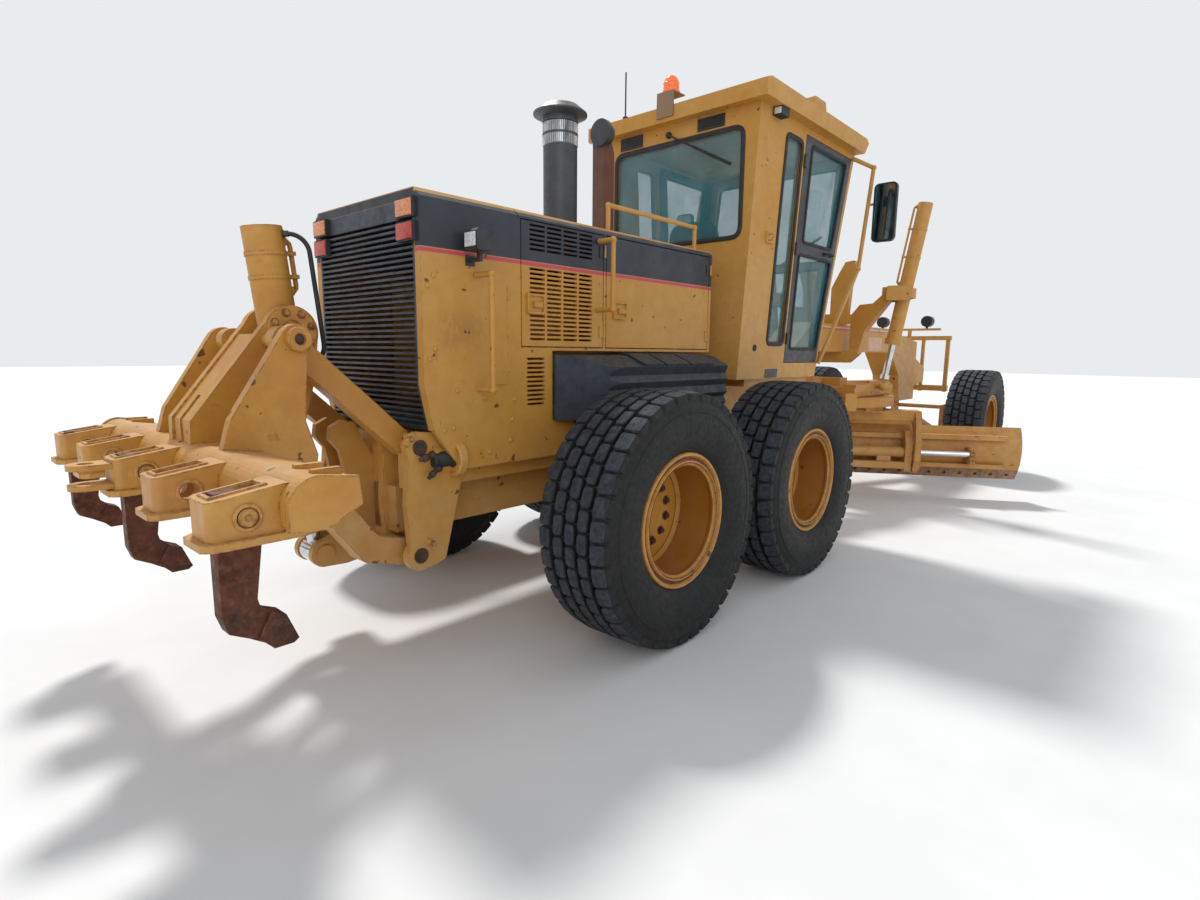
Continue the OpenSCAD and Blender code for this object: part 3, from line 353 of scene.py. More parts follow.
def yellowPaint(name, rustiness, tint, dirt, band=False, zoned=None, stain=None, bare=None, edgeRadius=0.006,
                deep=0.28, rod=None):
    # faded paint, chipped at its edges, with rust, dust and the zones of other colours
    mat, tree = newMaterial(name)
    faded = patches(tree, 1, (0.9, 3, 0.55), (0.35, 0.68))
    fine = patches(tree, 2, (14, 5, 0.65), (0.3, 0.75))
    colour = blend(tree, faded, colours["paint"], colours["fadedPaint"])
    colour = blend(tree, times(tree, fine, deep), colour, colours["deepPaint"])
    if tint:
        tinted = patches(tree, 3, (2.4, 4, 0.6), (0.42, 0.62, 0.0, tint))
        colour = blend(tree, tinted, colour, colours["tintedPaint"])
    chips = patches(tree, 4, (38, 6, 0.7), (0.52 - 0.12 * rustiness, 0.62 - 0.08 * rustiness))
    wear = times(tree, edgeMask(tree, edgeRadius), chips)
    if band:
        grain = patches(tree, 6, (5, 4, 0.6), (0.3, 0.8, 0.0, 0.35))
        dark = blend(tree, grain, colours["blackPaint"], colours["greyPaint"])
        colour = blend(tree, zoneMask(tree, zones["hoodBand"], 0.002), colour, dark)
        colour = blend(tree, zoneMask(tree, zones["hoodStripe"], 0.001), colour, colours["stripe"])
    for limits, zoneColour in inZones(zoned):
        colour = blend(tree, zoneMask(tree, limits), colour, zoneColour)
    # rust blooms and runs
    bloom = patches(tree, 5, (5.5, 8, 0.72), (0.66 - 0.10 * rustiness, 0.78))
    runs = patches(tree, 7, (9, 6, 0.7), (0.66 - 0.07 * rustiness, 0.82, 0, rustiness), (1, 1, 0.16))
    rusty = calc(tree, "MAXIMUM", times(tree, bloom, min(1.0, rustiness * 1.4)), runs)
    if stain:
        speckle = patches(tree, 12, (22, 7, 0.75), (0.36, 0.56, 0.0, 0.9), (1, 1, 0.45))
        rusty = calc(tree, "MAXIMUM", rusty, times(tree, zoneMask(tree, zones[stain], 0.05), speckle))
    colour = blend(tree, rusty, colour, colours["rust"])
    nicks = patches(tree, 14, (15, 2, 0.55), (0.715 - 0.05 * rustiness, 0.745 - 0.05 * rustiness))
    worst = calc(tree, "MAXIMUM", times(tree, wear, 0.85), times(tree, nicks, 0.8))
    colour = blend(tree, worst, colour, colours["darkRust"])
    # dust lies on faces that look up and low on the machine
    upward = spread(tree, facing(tree), 0.35, 0.95)
    low = spread(tree, placeOn(tree), 1.3, 0.25, 0.0, 0.8)
    dusty = calc(tree, "MAXIMUM", upward, low)
    dusty = times(tree, dusty, patches(tree, 8, (7, 6, 0.7), (0.32, 0.7)))
    colour = blend(tree, times(tree, dusty, dirt), colour, colours["dust"])
    if bare:
        worn = patches(tree, 13, (16, 6, 0.7), (0.3, 0.62, 0.35, 1.0), (1, 1, 0.5))
        scoured = times(tree, zoneMask(tree, zones[bare], 0.012), worn)
        colour = blend(tree, scoured, colour, blend(tree, fine, colours["rust"], colours["bareSteel"]))
    rough = patches(tree, 9, (11, 5, 0.6), (0.3, 0.7, 0.36, 0.58))
    rough = calc(tree, "ADD", rough, times(tree, calc(tree, "MAXIMUM", rusty, dusty), 0.3))
    if rod:
        plated = rodMask(tree, rod)
        colour = blend(tree, plated, colour, colours["plated"])
        rough = times(tree, rough, spread(tree, plated, 0.0, 1.0, 1.0, 0.3))
        setShader(tree, Metallic=plated)
    setShader(tree, BaseColor=colour, Roughness=rough, SpecularIORLevel=0.42)
    orangePeel = times(tree, noiseOf(tree, 170, 2, 0.5), 0.12)
    relief = calc(tree, "ADD", orangePeel, noiseOf(tree, 4, 2, 0.5, seed=11))
    relief = calc(tree, "SUBTRACT", relief, times(tree, wear, 0.5))
    bumpOf(tree, relief, 0.35, 0.003)
    return mat


def darkFinish(name, base, second, rough, dirt, scale=9.0, relief=0.25, grain=220, zoned=None):
    # plastic, rubber and black paint: two tones, dust on top and a fine grain
    mat, tree = newMaterial(name)
    blotch = patches(tree, 1, (scale, 5, 0.62), (0.3, 0.72))
    colour = blend(tree, blotch, srgb(*base), srgb(*second))
    for limits, zoneColour in inZones(zoned):
        shade = blend(tree, blotch, zoneColour, tuple(c * 0.78 for c in zoneColour[:3]) + (1,))
        colour = blend(tree, zoneMask(tree, limits), colour, shade)
    dusty = spread(tree, facing(tree), 0.1, 0.9, 0.15, 1.0)
    dusty = times(tree, dusty, patches(tree, 4, (18, 6, 0.7), (0.35, 0.7)))
    colour = blend(tree, times(tree, dusty, dirt), colour, colours["rubberDust"])
    setShader(tree, BaseColor=colour, Roughness=patches(tree, 2, (24, 4, 0.6), (0.3, 0.7, *rough)))
    bumpOf(tree, noiseOf(tree, grain, 3, 0.6, seed=3), relief, 0.001)
    return mat


def metalFinish(name, base, second, rough, scale, relief, stretch=None):
    mat, tree = newMaterial(name)
    streak = patches(tree, 1, (scale, 5, 0.6), (0.3, 0.72), stretch)
    gloss = patches(tree, 2, (scale * 1.7, 4, 0.6), (0.3, 0.7, *rough), stretch)
    setShader(tree, BaseColor=blend(tree, streak, srgb(*base), srgb(*second)), Roughness=gloss, Metallic=1.0)
    bumpOf(tree, noiseOf(tree, scale * 6, 3, 0.5, stretch, seed=3), relief, 0.0005)
    return mat


def rustFinish(name, dark, base, pale):
    mat, tree = newMaterial(name)
    patch = patches(tree, 1, (8, 7, 0.7), (0.32, 0.68))
    spots = patches(tree, 2, (42, 6, 0.7), (0.45, 0.7))
    colour = blend(tree, patch, srgb(*dark), srgb(*base))
    colour = blend(tree, times(tree, spots, 0.5), colour, srgb(*pale))
    polished = times(tree, edgeMask(tree, 0.008), spots)
    colour = blend(tree, times(tree, polished, 0.5), colour, colours["bareSteel"])
    rough = patches(tree, 4, (30, 5, 0.6), (0.3, 0.7, 0.5, 0.85))
    setShader(tree, BaseColor=colour, Roughness=rough, Metallic=0.25)
    bumpOf(tree, noiseOf(tree, 60, 8, 0.7, seed=5), 0.6, 0.002)
    return mat


def glassFinish(name, tint, clear):
    # the tint is partly the glass's own colour and partly a painted sky reflection that makes it bluer and
    # brighter
    mat, tree = newMaterial(name)
    smear = patches(tree, 1, (3.2, 6, 0.7), (0.4, 0.8, 0.0, 0.16))
    veil = calc(tree, "ADD", smear, patches(tree, 2, (26, 6, 0.7), (0.5, 0.85, 0.0, 0.10)))
    setShader(tree, BaseColor=blend(tree, veil, srgb(*tint), colours["glassDust"]),
              Alpha=calc(tree, "ADD", 1 - clear, veil), Roughness=calc(tree, "ADD", 0.04, smear),
              IOR=1.45, SpecularIORLevel=0.7)
    mat.blend_method = "BLEND"
    return mat


def lensFinish(name, base, glow, second):
    mat, tree = newMaterial(name)
    cell = addNode(tree, "ShaderNodeTexVoronoi", Scale=90.0, Vector=objectPlace(tree)).outputs["Distance"]
    colour = blend(tree, spread(tree, cell, 0.1, 0.7), srgb(*base), srgb(*second))
    setShader(tree, BaseColor=colour, Roughness=patches(tree, 0, (20, 4, 0.6), (0.3, 0.7, 0.12, 0.3)),
              EmissionColor=srgb(*base), EmissionStrength=glow)
    bumpOf(tree, cell, 0.4, 0.001)
    return mat


def tyreFinish(name, base, second, scuffedAndLit):
    mat, tree = newMaterial(name)
    colour = blend(tree, patches(tree, 1, (5, 5, 0.62), (0.3, 0.72)), srgb(*base), srgb(*second))
    grit = patches(tree, 2, (26, 7, 0.74), (0.46, 0.72))
    grime = times(tree, grit, patches(tree, 3, (3, 4, 0.6), (0.3, 0.7, 0.04, 0.30)))
    # the tops of the tread blocks are paler and bluer than the smooth sides: partly worn scuff, partly a
    # painted highlight and painted sky light; with fine cuts across them
    treadFace = spread(tree, calc(tree, "ABSOLUTE", facing(tree, "Y")), 0.25, 0.5, 1.0, 0.0)
    scuffAndHighlight = times(tree, patches(tree, 6, (34, 6, 0.7), (0.3, 0.7, 0.2, 1.0)), treadFace)
    colour = blend(tree, scuffAndHighlight, colour, srgb(*scuffedAndLit))
    grime = times(tree, grime, spread(tree, treadFace, 0.0, 1.0, 0.3, 1.0))
    colour = blend(tree, grime, colour, colours["rubberDust"])
    sheen = patches(tree, 4, (40, 4, 0.6), (0.3, 0.7, 0.52, 0.7))
    rough = calc(tree, "ADD", sheen, times(tree, treadFace, 0.18))
    setShader(tree, BaseColor=colour, Roughness=rough, SpecularIORLevel=0.3)
    cuts = times(tree, noiseOf(tree, 14, 3, 0.6, (4, 0.6, 4), seed=7), 2.2)
    rubberGrain = calc(tree, "ADD", noiseOf(tree, 130, 6, 0.7, seed=5), times(tree, grit, 0.6))
    relief = calc(tree, "ADD", rubberGrain, cuts)
    bumpOf(tree, times(tree, relief, spread(tree, treadFace, 0.0, 1.0, 0.25, 1.0)), 0.6, 0.002)
    return mat


def makeMaterials():
    lampParts = {zone: "rubber" for zone in ("mirrors", "roofLamps", "headLamps", "workLamps")}
    lampParts["beaconFoot"] = "beaconFoot"
    return {
        # rustiness, tint and dust
        "paint": yellowPaint("yellowPaint", 0.22, 0.1, 0.35),
        "hoodPaint": yellowPaint("hoodPaint", 0.30, 0.12, 0.3, band=True, zoned={"headerPlate": "blackPaint"},
                                 stain="hoodStain"),
        "framePaint": yellowPaint("framePaint", 0.26, 0.15, 0.45,
                                  zoned={"archLine": "stripe", "archPale": "paleStripe"}),
        "wornPaint": yellowPaint("wornYellowPaint", 0.55, 0.5, 0.35, edgeRadius=0.011, deep=0.4),
        "pinPaint": yellowPaint("pinPaint", 1.0, 0.8, 0.3, edgeRadius=0.012, deep=0.6),
        "bladePaint": yellowPaint("bladePaint", 0.42, 0.4, 0.3, bare="cuttingEdge", edgeRadius=0.009,
                                  deep=0.6, rod=shiftRod),
        # the rim's barrel is painted darker as painted shade; the lip keeps the rim's own colour
        "rimPaint": yellowPaint("rimPaint", 0.4, 0.3, 0.12, zoned={"rimWell": "rimWell", "rimLip": "rimLip"},
                                edgeRadius=0.008, deep=0.75),
        "cabPaint": yellowPaint("cabPaint", 0.12, 0.0, 0.3),
        "lampMount": yellowPaint("mirrorArmPaint", 0.2, 0.1, 0.35, zoned=lampParts),
        # two tones, roughness from and to, dust and the scale of the blotches
        "stackPaint": darkFinish("stackPaint", (52, 56, 62), (66, 70, 76), (0.35, 0.55), 0.3,
                                 zoned={"duct": "rustyDuct", "ductBack": "rustyDuct"}),
        "blackPlastic": darkFinish("blackPlastic", (32, 33, 35), (50, 51, 53), (0.45, 0.7), 0.4),
        "doorBlack": darkFinish("doorBlack", (40, 43, 47), (58, 61, 66), (0.35, 0.55), 0.35),
        "grilleBlack": darkFinish("grilleBlack", (34, 40, 50), (56, 64, 76), (0.35, 0.6), 0.25),
        "coverRubber": darkFinish("coverRubber", (30, 36, 46), (46, 53, 64), (0.5, 0.75), 0.3, 6),
        "rustLine": darkFinish("rustLine", (112, 62, 34), (70, 38, 24), (0.6, 0.85), 0.15, 30, 0.5, 160),
        "greasy": darkFinish("greasySteel", (44, 34, 28), (88, 62, 42), (0.4, 0.75), 0.25, 16, 0.5, 90),
        "seat": darkFinish("seatCloth", (34, 36, 40), (54, 56, 62), (0.8, 0.95), 0.15, 20, 0.6, 500),
        "cabTrim": darkFinish("cabTrim", (48, 49, 52), (66, 67, 70), (0.55, 0.8), 0.25, 14),
        "plate": darkFinish("fadedPlate", (206, 160, 136), (222, 182, 154), (0.5, 0.7), 0.3, 12),
        "seal": darkFinish("windowSeal", (22, 22, 23), (36, 36, 37), (0.55, 0.75), 0.2, 12),
        # the third tone is the tread tops' paler, bluish colour: partly worn scuff, partly painted highlight
        # and sky light
        "tyre": tyreFinish("tyreRubber", (18, 19, 20), (28, 28, 28), (62, 68, 76)),
        "rusty": rustFinish("rustySteel", (56, 28, 17), (96, 50, 28), (128, 74, 42)),
        # two tones, roughness from and to, scale, relief and stretch of the streaks
        "chrome": metalFinish("chromeRod", (214, 214, 214), (178, 178, 180), (0.08, 0.2), 24, 0.05),
        "sleeve": metalFinish("sleeveSteel", (196, 198, 200), (120, 122, 126), (0.2, 0.4), 30, 0.15,
                              (1, 1, 0.2)),
        "mirrorGlass": metalFinish("mirrorFace", (150, 160, 162), (128, 138, 140), (0.03, 0.08), 6, 0.01),
        # the glass tint is partly its own and partly a painted sky reflection
        "glass": glassFinish("tintedGlass", (66, 142, 152), 0.72),
        # tone, glow and second tone
        "amber": lensFinish("amberLens", (232, 88, 34), 0.22, (250, 132, 66)),
        "red": lensFinish("redLens", (150, 38, 36), 0.05, (190, 70, 60)),
        "orangeLamp": lensFinish("orangeLens", (196, 104, 62), 0.05, (220, 146, 100)),
        "lampGlass": lensFinish("lampGlass", (188, 192, 194), 0.0, (226, 230, 230)),
    }


materials = makeMaterials()
mastHose.data.materials.clear()
mastHose.data.materials.append(materials["seal"])
print("materials made:", len(materials))

finishes = {
    "hoodPaint": ["hood", "engine_door_r", "engine_door_l", "louvre_door_r", "louvre_door_l"],
    "cabPaint": ["cab"],
    "framePaint": ["front_frame"],
    "bladePaint": ["moldboard"],
    "wornPaint": ["ripper_beam", "ripper_arms", "ripper_links", "ripper_barrel", "tandem_cases",
                  "turning_circle", "blade_carriage"],
    "rimPaint": [n for n in nodes if n.startswith("rim_")],
    "tyre": [n for n in nodes if n.startswith("tyre_")],
    "grilleBlack": ["grille"],
    "coverRubber": ["fenders"],
    "lampMount": ["mirrors_lamps"],
    "doorBlack": ["cab_door_r", "cab_door_l"],
    "stackPaint": ["exhaust"],
    "seat": ["cab_seat"],
    "rusty": ["ripper_shanks"],
    "chrome": ["ripper_rod", "lift_rod_r", "lift_rod_l"],
    "blackPlastic": ["tail_lamps"],
    "amber": ["beacon"],
}


def finishNodes():
    named = {n: key for key, group in finishes.items() for n in group}
    for name, obj in nodes.items():
        mat = materials[named.get(name, "paint")]
        for slot in obj.material_slots:
            slot.material = mat


finishNodes()


# mesh helpers
def meshFrom(name, bm):
    mesh = bpy.data.meshes.new(name)
    bmesh.ops.remove_doubles(bm, verts=bm.verts, dist=1e-6)
    bmesh.ops.recalc_face_normals(bm, faces=bm.faces)
    bm.to_mesh(mesh)
    bm.free()
    return mesh


def newPiece(name, mesh, mat, body, sharp):
    # a piece with its material, body and slot; sharp is the angle of the edges that stay, 0 keeps it flat
    piece = newObject(name, mesh)
    mesh.materials.clear()
    mesh.materials.append(materials[mat])
    if sharp:
        mesh.shade_smooth()
        mesh.set_sharp_from_angle(angle=math.radians(sharp))
    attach(piece, body)
    return piece


def buildPiece(name, mat, body, *parts, sharp=35):
    # a piece of parts, each an adding function with the values it takes
    bm = bmesh.new()
    for add, *values in parts:
        add(bm, *values)
    return newPiece(name, meshFrom(name, bm), mat, body, sharp)


def addRings(bm, rings, closed=False):
    # joins rings of points by faces, with an end face at each end of an open run
    rings = [[bm.verts.new(p) for p in ring] for ring in rings]
    for a, b in zip(rings, rings[1:] + rings[:1] if closed else rings[1:]):
        for k in range(len(a)):
            j = (k + 1) % len(a)
            bm.faces.new((a[k], a[j], b[j], b[k]))
    if not closed:
        bm.faces.new(list(reversed(rings[0])))
        bm.faces.new(rings[-1])


def addTube(bm, points, radius, count=10, closed=False):
    # a swept round tube through smooth points
    rings = []
    side = None
    last = len(points) - 1
    for i, p in enumerate(points):
        before, after = (i - 1, (i + 1) % (last + 1)) if closed else (max(i - 1, 0), min(i + 1, last))
        tangent = (points[after] - points[before]).normalized()
        side = side - tangent * side.dot(tangent) if side else tangent.orthogonal()
        side.normalize()
        other = tangent.cross(side)
        rings.append([p + u * side + v * other for u, v in around(count, radius)])
    addRings(bm, rings, closed)


def smoothPath(points, steps=8):
    # a Catmull-Rom path through station points
    pts = [at(*p) for p in points]
    pts = [2 * pts[0] - pts[1]] + pts + [2 * pts[-1] - pts[-2]]
    path = []
    for i in range(1, len(pts) - 2):
        p0, p1, p2, p3 = pts[i - 1:i + 3]
        for k in range(steps):
            t = k / steps
            path.append(0.5 * ((2 * p1) + (p2 - p0) * t + (2 * p0 - 5 * p1 + 4 * p2 - p3) * t * t
                               + (3 * p1 - p0 - 3 * p2 + p3) * t * t * t))
    path.append(pts[-2])
    return path


def addLathe(bm, profile, centre, axis, segments=32):
    # revolves (radius, distance) pairs in millimetres about an axis through centre
    axis = Vector(axis).normalized()
    side = axis.orthogonal().normalized()
    other = axis.cross(side)
    rings = []
    for radius, distance in profile:
        middle = centre + axis * distance / 1000
        places = around(segments, radius / 1000) if radius > 0.01 else [(0, 0)]
        rings.append([bm.verts.new(middle + u * side + v * other) for u, v in places])
    for a, b in zip(rings, rings[1:]):
        if len(a) + len(b) == 2:
            continue
        for k in range(segments):
            j = (k + 1) % segments
            corners = (a[k % len(a)], a[j % len(a)], b[j % len(b)], b[k % len(b)])
            bm.faces.new(list(dict.fromkeys(corners)))


def addBox(bm, first, second, bevel):
    # a box between two opposite station corners, with rounded edges
    a, b = at(*map(min, first, second)), at(*map(max, first, second))
    corners = [bm.verts.new((x, y, z)) for x in (a.x, b.x) for y in (a.y, b.y) for z in (a.z, b.z)]
    faces = [bm.faces.new([corners[i] for i in f]) for f in
             ((0, 1, 3, 2), (4, 6, 7, 5), (0, 4, 5, 1), (2, 3, 7, 6), (0, 2, 6, 4), (1, 5, 7, 3))]
    edges = list({e for f in faces for e in f.edges})
    bmesh.ops.bevel(bm, geom=edges, offset=bevel / 1000, segments=2, affect="EDGES", profile=0.6)


def addPlate(bm, outline, normal, thickness):
    # a flat outline pushed out along a normal
    step = Vector(normal).normalized() * thickness / 1000
    addRings(bm, [outline, [p + step for p in outline]])


def rectangle(a, b):
    # the corners between two ranges, in order
    return [(a[0], b[0]), (a[1], b[0]), (a[1], b[1]), (a[0], b[1])]


def roundedOutline(corners, radius, steps=5):
    # rounds each corner of a flat outline of (a, b) pairs
    out = []
    for i, corner in enumerate(corners):
        p = Vector(corner)
        before = (Vector(corners[i - 1]) - p).normalized()
        after = (Vector(corners[(i + 1) % len(corners)]) - p).normalized()
        for t in [k / steps for k in range(steps + 1)]:
            out.append(tuple(p + before * radius * (1 - t) ** 2 + after * radius * t ** 2))
    return out


# small parts that trees set on points
headForms = {
    "bar": ((0.5, 0.5, 0), (0.47, 0.34, 1)),
    "round": [(0, 0), (500, 0), (500, 90), (430, 230), (240, 330), (0, 350)],
    "washer": [(0, 0), (800, 0), (800, 110), (0, 110)],
    "hex": ((0.57, 0.0), (0.57, 0.58), (0.49, 0.68)),
}
headLayers = ("headAxis", "headAlong", "headSize")


def boltHead(kind):
    # one of unit width, standing up along Z: a bar with broken edges, a low round head or a nut on its washer
    bm = bmesh.new()
    form, middle, up = headForms[kind], Vector((0, 0, 0)), (0, 0, 1)
    if kind == "bar":
        corners = rectangle((-1, 1), (-1, 1))
        addRings(bm, [[(x * long, y * wide, z) for x, y in corners] for long, wide, z in form])
    elif kind == "round":
        addLathe(bm, form, middle, up, 14)
    else:
        addLathe(bm, headForms["washer"], middle, up, 16)
        addRings(bm, [[(x, y, z) for x, y in around(6, r)] for r, z in form])
    return newObject(kind + "Head", meshFrom(kind + "Head", bm))


def newTree(name, **inputs):
    tree = bpy.data.node_groups.new(name, "GeometryNodeTree")
    tree.interface.new_socket("Geometry", in_out="INPUT", socket_type="NodeSocketGeometry")
    for label, kind in inputs.items():
        tree.interface.new_socket(label, in_out="INPUT", socket_type="NodeSocket" + kind)
    tree.interface.new_socket("Geometry", in_out="OUTPUT", socket_type="NodeSocketGeometry")
    return tree, tree.nodes.new("NodeGroupInput").outputs


def endTree(tree, source, geometry):
    # real meshes with the material set, to the tree's output
    real = addNode(tree, "GeometryNodeRealizeInstances", Geometry=geometry)
    paint = addNode(tree, "GeometryNodeSetMaterial", Geometry=real.outputs[0], Material=source["Material"])
    addNode(tree, "NodeGroupOutput", Geometry=paint.outputs[0])
    return tree


def headTree():
    # sets a small part on each point, turned to the point's axis and scaled to its size
    tree, source = newTree("setHeads", Head="Object", Material="Material")
    kind = "GeometryNodeInputNamedAttribute"
    read = [addNode(tree, kind, data_type="FLOAT_VECTOR", Name=label) for label in headLayers]
    axis, along, size = (node.outputs["Attribute"] for node in read)
    kind = "FunctionNodeAlignRotationToVector"
    align = addNode(tree, kind, axis="Z", Vector=axis)
    turn = addNode(tree, kind, axis="X", pivot_axis="Z", Rotation=align.outputs[0], Vector=along)
    info = addNode(tree, "GeometryNodeObjectInfo", Object=source["Head"])
    spot = addNode(tree, "GeometryNodeInstanceOnPoints", Points=source["Geometry"],
                   Instance=info.outputs["Geometry"], Rotation=turn.outputs[0], Scale=size)
    return endTree(tree, source, spot.outputs["Instances"])


def runTree(obj, tree, **values):
    # adds the tree as a modifier and sets its inputs by the sockets' identifiers
    modifier = obj.modifiers.new(tree.name, "NODES")
    modifier.node_group = tree
    for item in tree.interface.items_tree:
        if item.item_type == "SOCKET" and item.in_out == "INPUT" and item.name in values:
            modifier[item.identifier] = values[item.name]


def setHeads(name, body, places, head, mat):
    # places are (point, axis, size) and may add a direction for the part's own X; size is one number or three
    mesh = bpy.data.meshes.new(name)
    mesh.from_pydata([place[0] for place in places], [], [])
    layers = [mesh.attributes.new(label, "FLOAT_VECTOR", "POINT") for label in headLayers]
    for i, place in enumerate(places):
        axis, size = Vector(place[1]).normalized(), place[2]
        along = Vector(place[3]) if len(place) > 3 else axis.orthogonal()
        size = Vector(size if isinstance(size, tuple) else (size, size, size)) / 1000
        for layer, value in zip(layers, (axis, along.normalized(), size)):
            layer.data[i].vector = value
    holder = newObject(name + "Points", mesh)
    runTree(holder, headsTree, Head=heads[head], Material=materials[mat])
    shape = plainMesh(holder, name)
    bpy.data.objects.remove(holder)
    return newPiece(name, shape, mat, body, 32)


headsTree = headTree()
heads = {kind: boltHead(kind) for kind in ("hex", "round", "bar")}

# tyres
tyreSize = {
    "outer": 670,
    "base": 641,
    "side": [(331, 165), (352, 170), (372, 188), (400, 201), (440, 213), (490, 221), (540, 222), (561, 220.5),
             (563, 223), (568, 222.5), (570, 219), (590, 216), (620, 207), (637, 196), (641, 180)],
    "blocksAround": 38,
    "rowStep": 0.3,
    # length, width, room left under the outer radius and lean of each kind of block
    "blocks": {
        "middle": (94, 62, 2.2, 0.06),
        "between": (94, 62, 2.6, 0.0),
        "shoulder": (93, 84, 3.5, -0.05),
    },
    "blockCut": 0.010, "blockWorn": 0.004,
    # block, metres across, steps round, tilt and metres below the base
    "rows": [("middle", 0.0, 0, 0.0, 0.0), ("between", 0.078, 1, 0.0, 0.0), ("between", -0.078, -1, 0.0, 0.0),
             ("shoulder", 0.166, 2, -0.16, 0.004), ("shoulder", -0.166, -2, 0.16, 0.004)],
    "trackHalf": 1070,
    "axleHeight": 670,
}
wheels = {
    "rr": (-761, -1), "rl": (-761, 1),
    "mr": (761, -1), "ml": (761, 1),
    "fr": (6087, -1), "fl": (6087, 1),
}


def tyreCarcass():
    # a lathe about Y at the origin, with the side's rib and the bead
    side = tyreSize["side"]
    profile = [(r, -y) for r, y in side] + [(tyreSize["base"], 0)] + list(reversed(side))
    bm = bmesh.new()
    addLathe(bm, profile + [profile[0]], Vector((0, 0, 0)), (0, 1, 0), 96)
    return newObject("tyreCarcass", meshFrom("tyreCarcass", bm))


def treadBlock(name, length, width, under, lean):
    # one block with cut corners and worn top edges; X is round the tyre, Y across
    l, w, cut, worn = length / 2000, width / 2000, tyreSize["blockCut"], tyreSize["blockWorn"]
    depth = (tyreSize["outer"] - tyreSize["base"] - under) / 1000
    outline = [(-l + cut, -w), (l - cut, -w), (l, -w + cut), (l, w - cut),
               (l - cut, w), (-l + cut, w), (-l, w - cut), (-l, -w + cut)]
    rings = []
    for grow, shrink, z in ((1.08, 0.0, -0.012), (1.0, 0.0, depth - worn), (1.0, worn, depth)):
        ring = [(x * grow * (1 - shrink / l), y * grow * (1 - shrink / w)) for x, y in outline]
        rings.append([(x + lean * y, y, z) for x, y in ring])
    bm = bmesh.new()
    addRings(bm, rings)
    return newObject(name + "Block", meshFrom(name + "Block", bm))


def treadTree():
    # sets one row of blocks round a circle and joins it to what comes in
    tree, source = newTree("treadRow", Block="Object", Count="Int", Radius="Float", Across="Float",
                           Turn="Float", Tilt="Float", Material="Material")
    line = addNode(tree, "GeometryNodeMeshLine", Count=source["Count"])
    index = addNode(tree, "GeometryNodeInputIndex").outputs[0]
    share = calc(tree, "DIVIDE", index, source["Count"])
    angle = calc(tree, "MULTIPLY_ADD", share, 2 * math.pi, source["Turn"])
    x, z = (times(tree, calc(tree, part, angle), source["Radius"]) for part in ("SINE", "COSINE"))
    place = addNode(tree, "ShaderNodeCombineXYZ", X=x, Y=source["Across"], Z=z)
    placed = addNode(tree, "GeometryNodeSetPosition", Geometry=line.outputs[0], Position=place.outputs[0])
    turn = addNode(tree, "ShaderNodeCombineXYZ", X=source["Tilt"], Y=angle)
    info = addNode(tree, "GeometryNodeObjectInfo", Object=source["Block"])
    spot = addNode(tree, "GeometryNodeInstanceOnPoints", Points=placed.outputs[0],
                   Instance=info.outputs["Geometry"], Rotation=turn.outputs[0])
    join = addNode(tree, "GeometryNodeJoinGeometry", Geometry=source["Geometry"])
    tree.links.new(spot.outputs["Instances"], join.inputs[0])
    return endTree(tree, source, join.outputs[0])


def makeTyres():
    f = tyreSize
    tree = treadTree()
    carcass = tyreCarcass()
    blocks = {name: treadBlock(name, *sizes) for name, sizes in f["blocks"].items()}
    step = f["rowStep"] * 2 * math.pi / f["blocksAround"]
    for name, across, steps, tilt, below in f["rows"]:
        runTree(carcass, tree, Block=blocks[name], Count=f["blocksAround"], Radius=f["base"] / 1000 - below,
                Across=across, Turn=steps * step, Tilt=tilt, Material=materials["tyre"])
    mesh = plainMesh(carcass, "tyre")
    for part in (carcass, *blocks.values()):
        bpy.data.objects.remove(part)
    for key, (x, s) in wheels.items():
        own = mesh.copy()
        # each wheel stands turned by its own angle
        place = Matrix.Translation(at(x, s * f["trackHalf"], f["axleHeight"]))
        own.transform(place @ Matrix.Rotation(0.11 * x, 4, "Y"))
        piece = newPiece("tyreTread_" + key, own, "tyre", "wheel_" + key, 32)
        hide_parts("tyre_" + key)


makeTyres()
print("tyres made")

# wheel bolts, joints and rings
wheelTrim = {
    "count": 12, "circle": 168, "head": 30, "seat": 27, "discFace": 1008, "hubFace": 1000,
    # inner and outer radius of a rusty joint, and its distance from the middle plane
    "joints": [(316.5, 330.5, 1242.6), (300, 304, 1254.6), (349.5, 355, 1251.5), (267, 271.5, 1000.6)],
    "lockRing": [(300.5, 150), (289, 150), (286, 155), (286, 168), (290, 173), (300.5, 173), (300.5, 150)],
    "hubCap": [(0, -8), (37, -8), (37, 2), (31, 8), (0, 12)],
}


def dressWheels():
    f = wheelTrim
    z0, r = tyreSize["axleHeight"], f["seat"]
    for key, (x, s) in wheels.items():
        axis, body = (0, s, 0), "wheel_" + key
        bolts = [at(x + u, s * f["discFace"], z0 + v) for u, v in around(f["count"], f["circle"], 0.5)]
        setHeads("rimBolts_" + key, body, [(bolt, axis, f["head"]) for bolt in bolts], "hex", "rusty")
        joints = [(addLathe, [(r0, -1), (r0, 0.8), (r1, 0.8), (r1, -1), (r0, -1)], at(x, s * y, z0), axis, 64)
                  for r0, r1, y in f["joints"]]
        seats = [(addLathe, [(0, -1), (r, -1), (r, 0.8), (0, 0.8)], bolt, axis, 16) for bolt in bolts]
        buildPiece("rimJoints_" + key, "rustLine", body, *joints, *seats)
        for name, y, segments in (("lockRing", tyreSize["trackHalf"], 72), ("hubCap", f["hubFace"], 24)):
            ring = (addLathe, f[name], at(x, s * y, z0), axis, segments)
            buildPiece(name + "_" + key, "rimPaint", body, ring)


dressWheels()

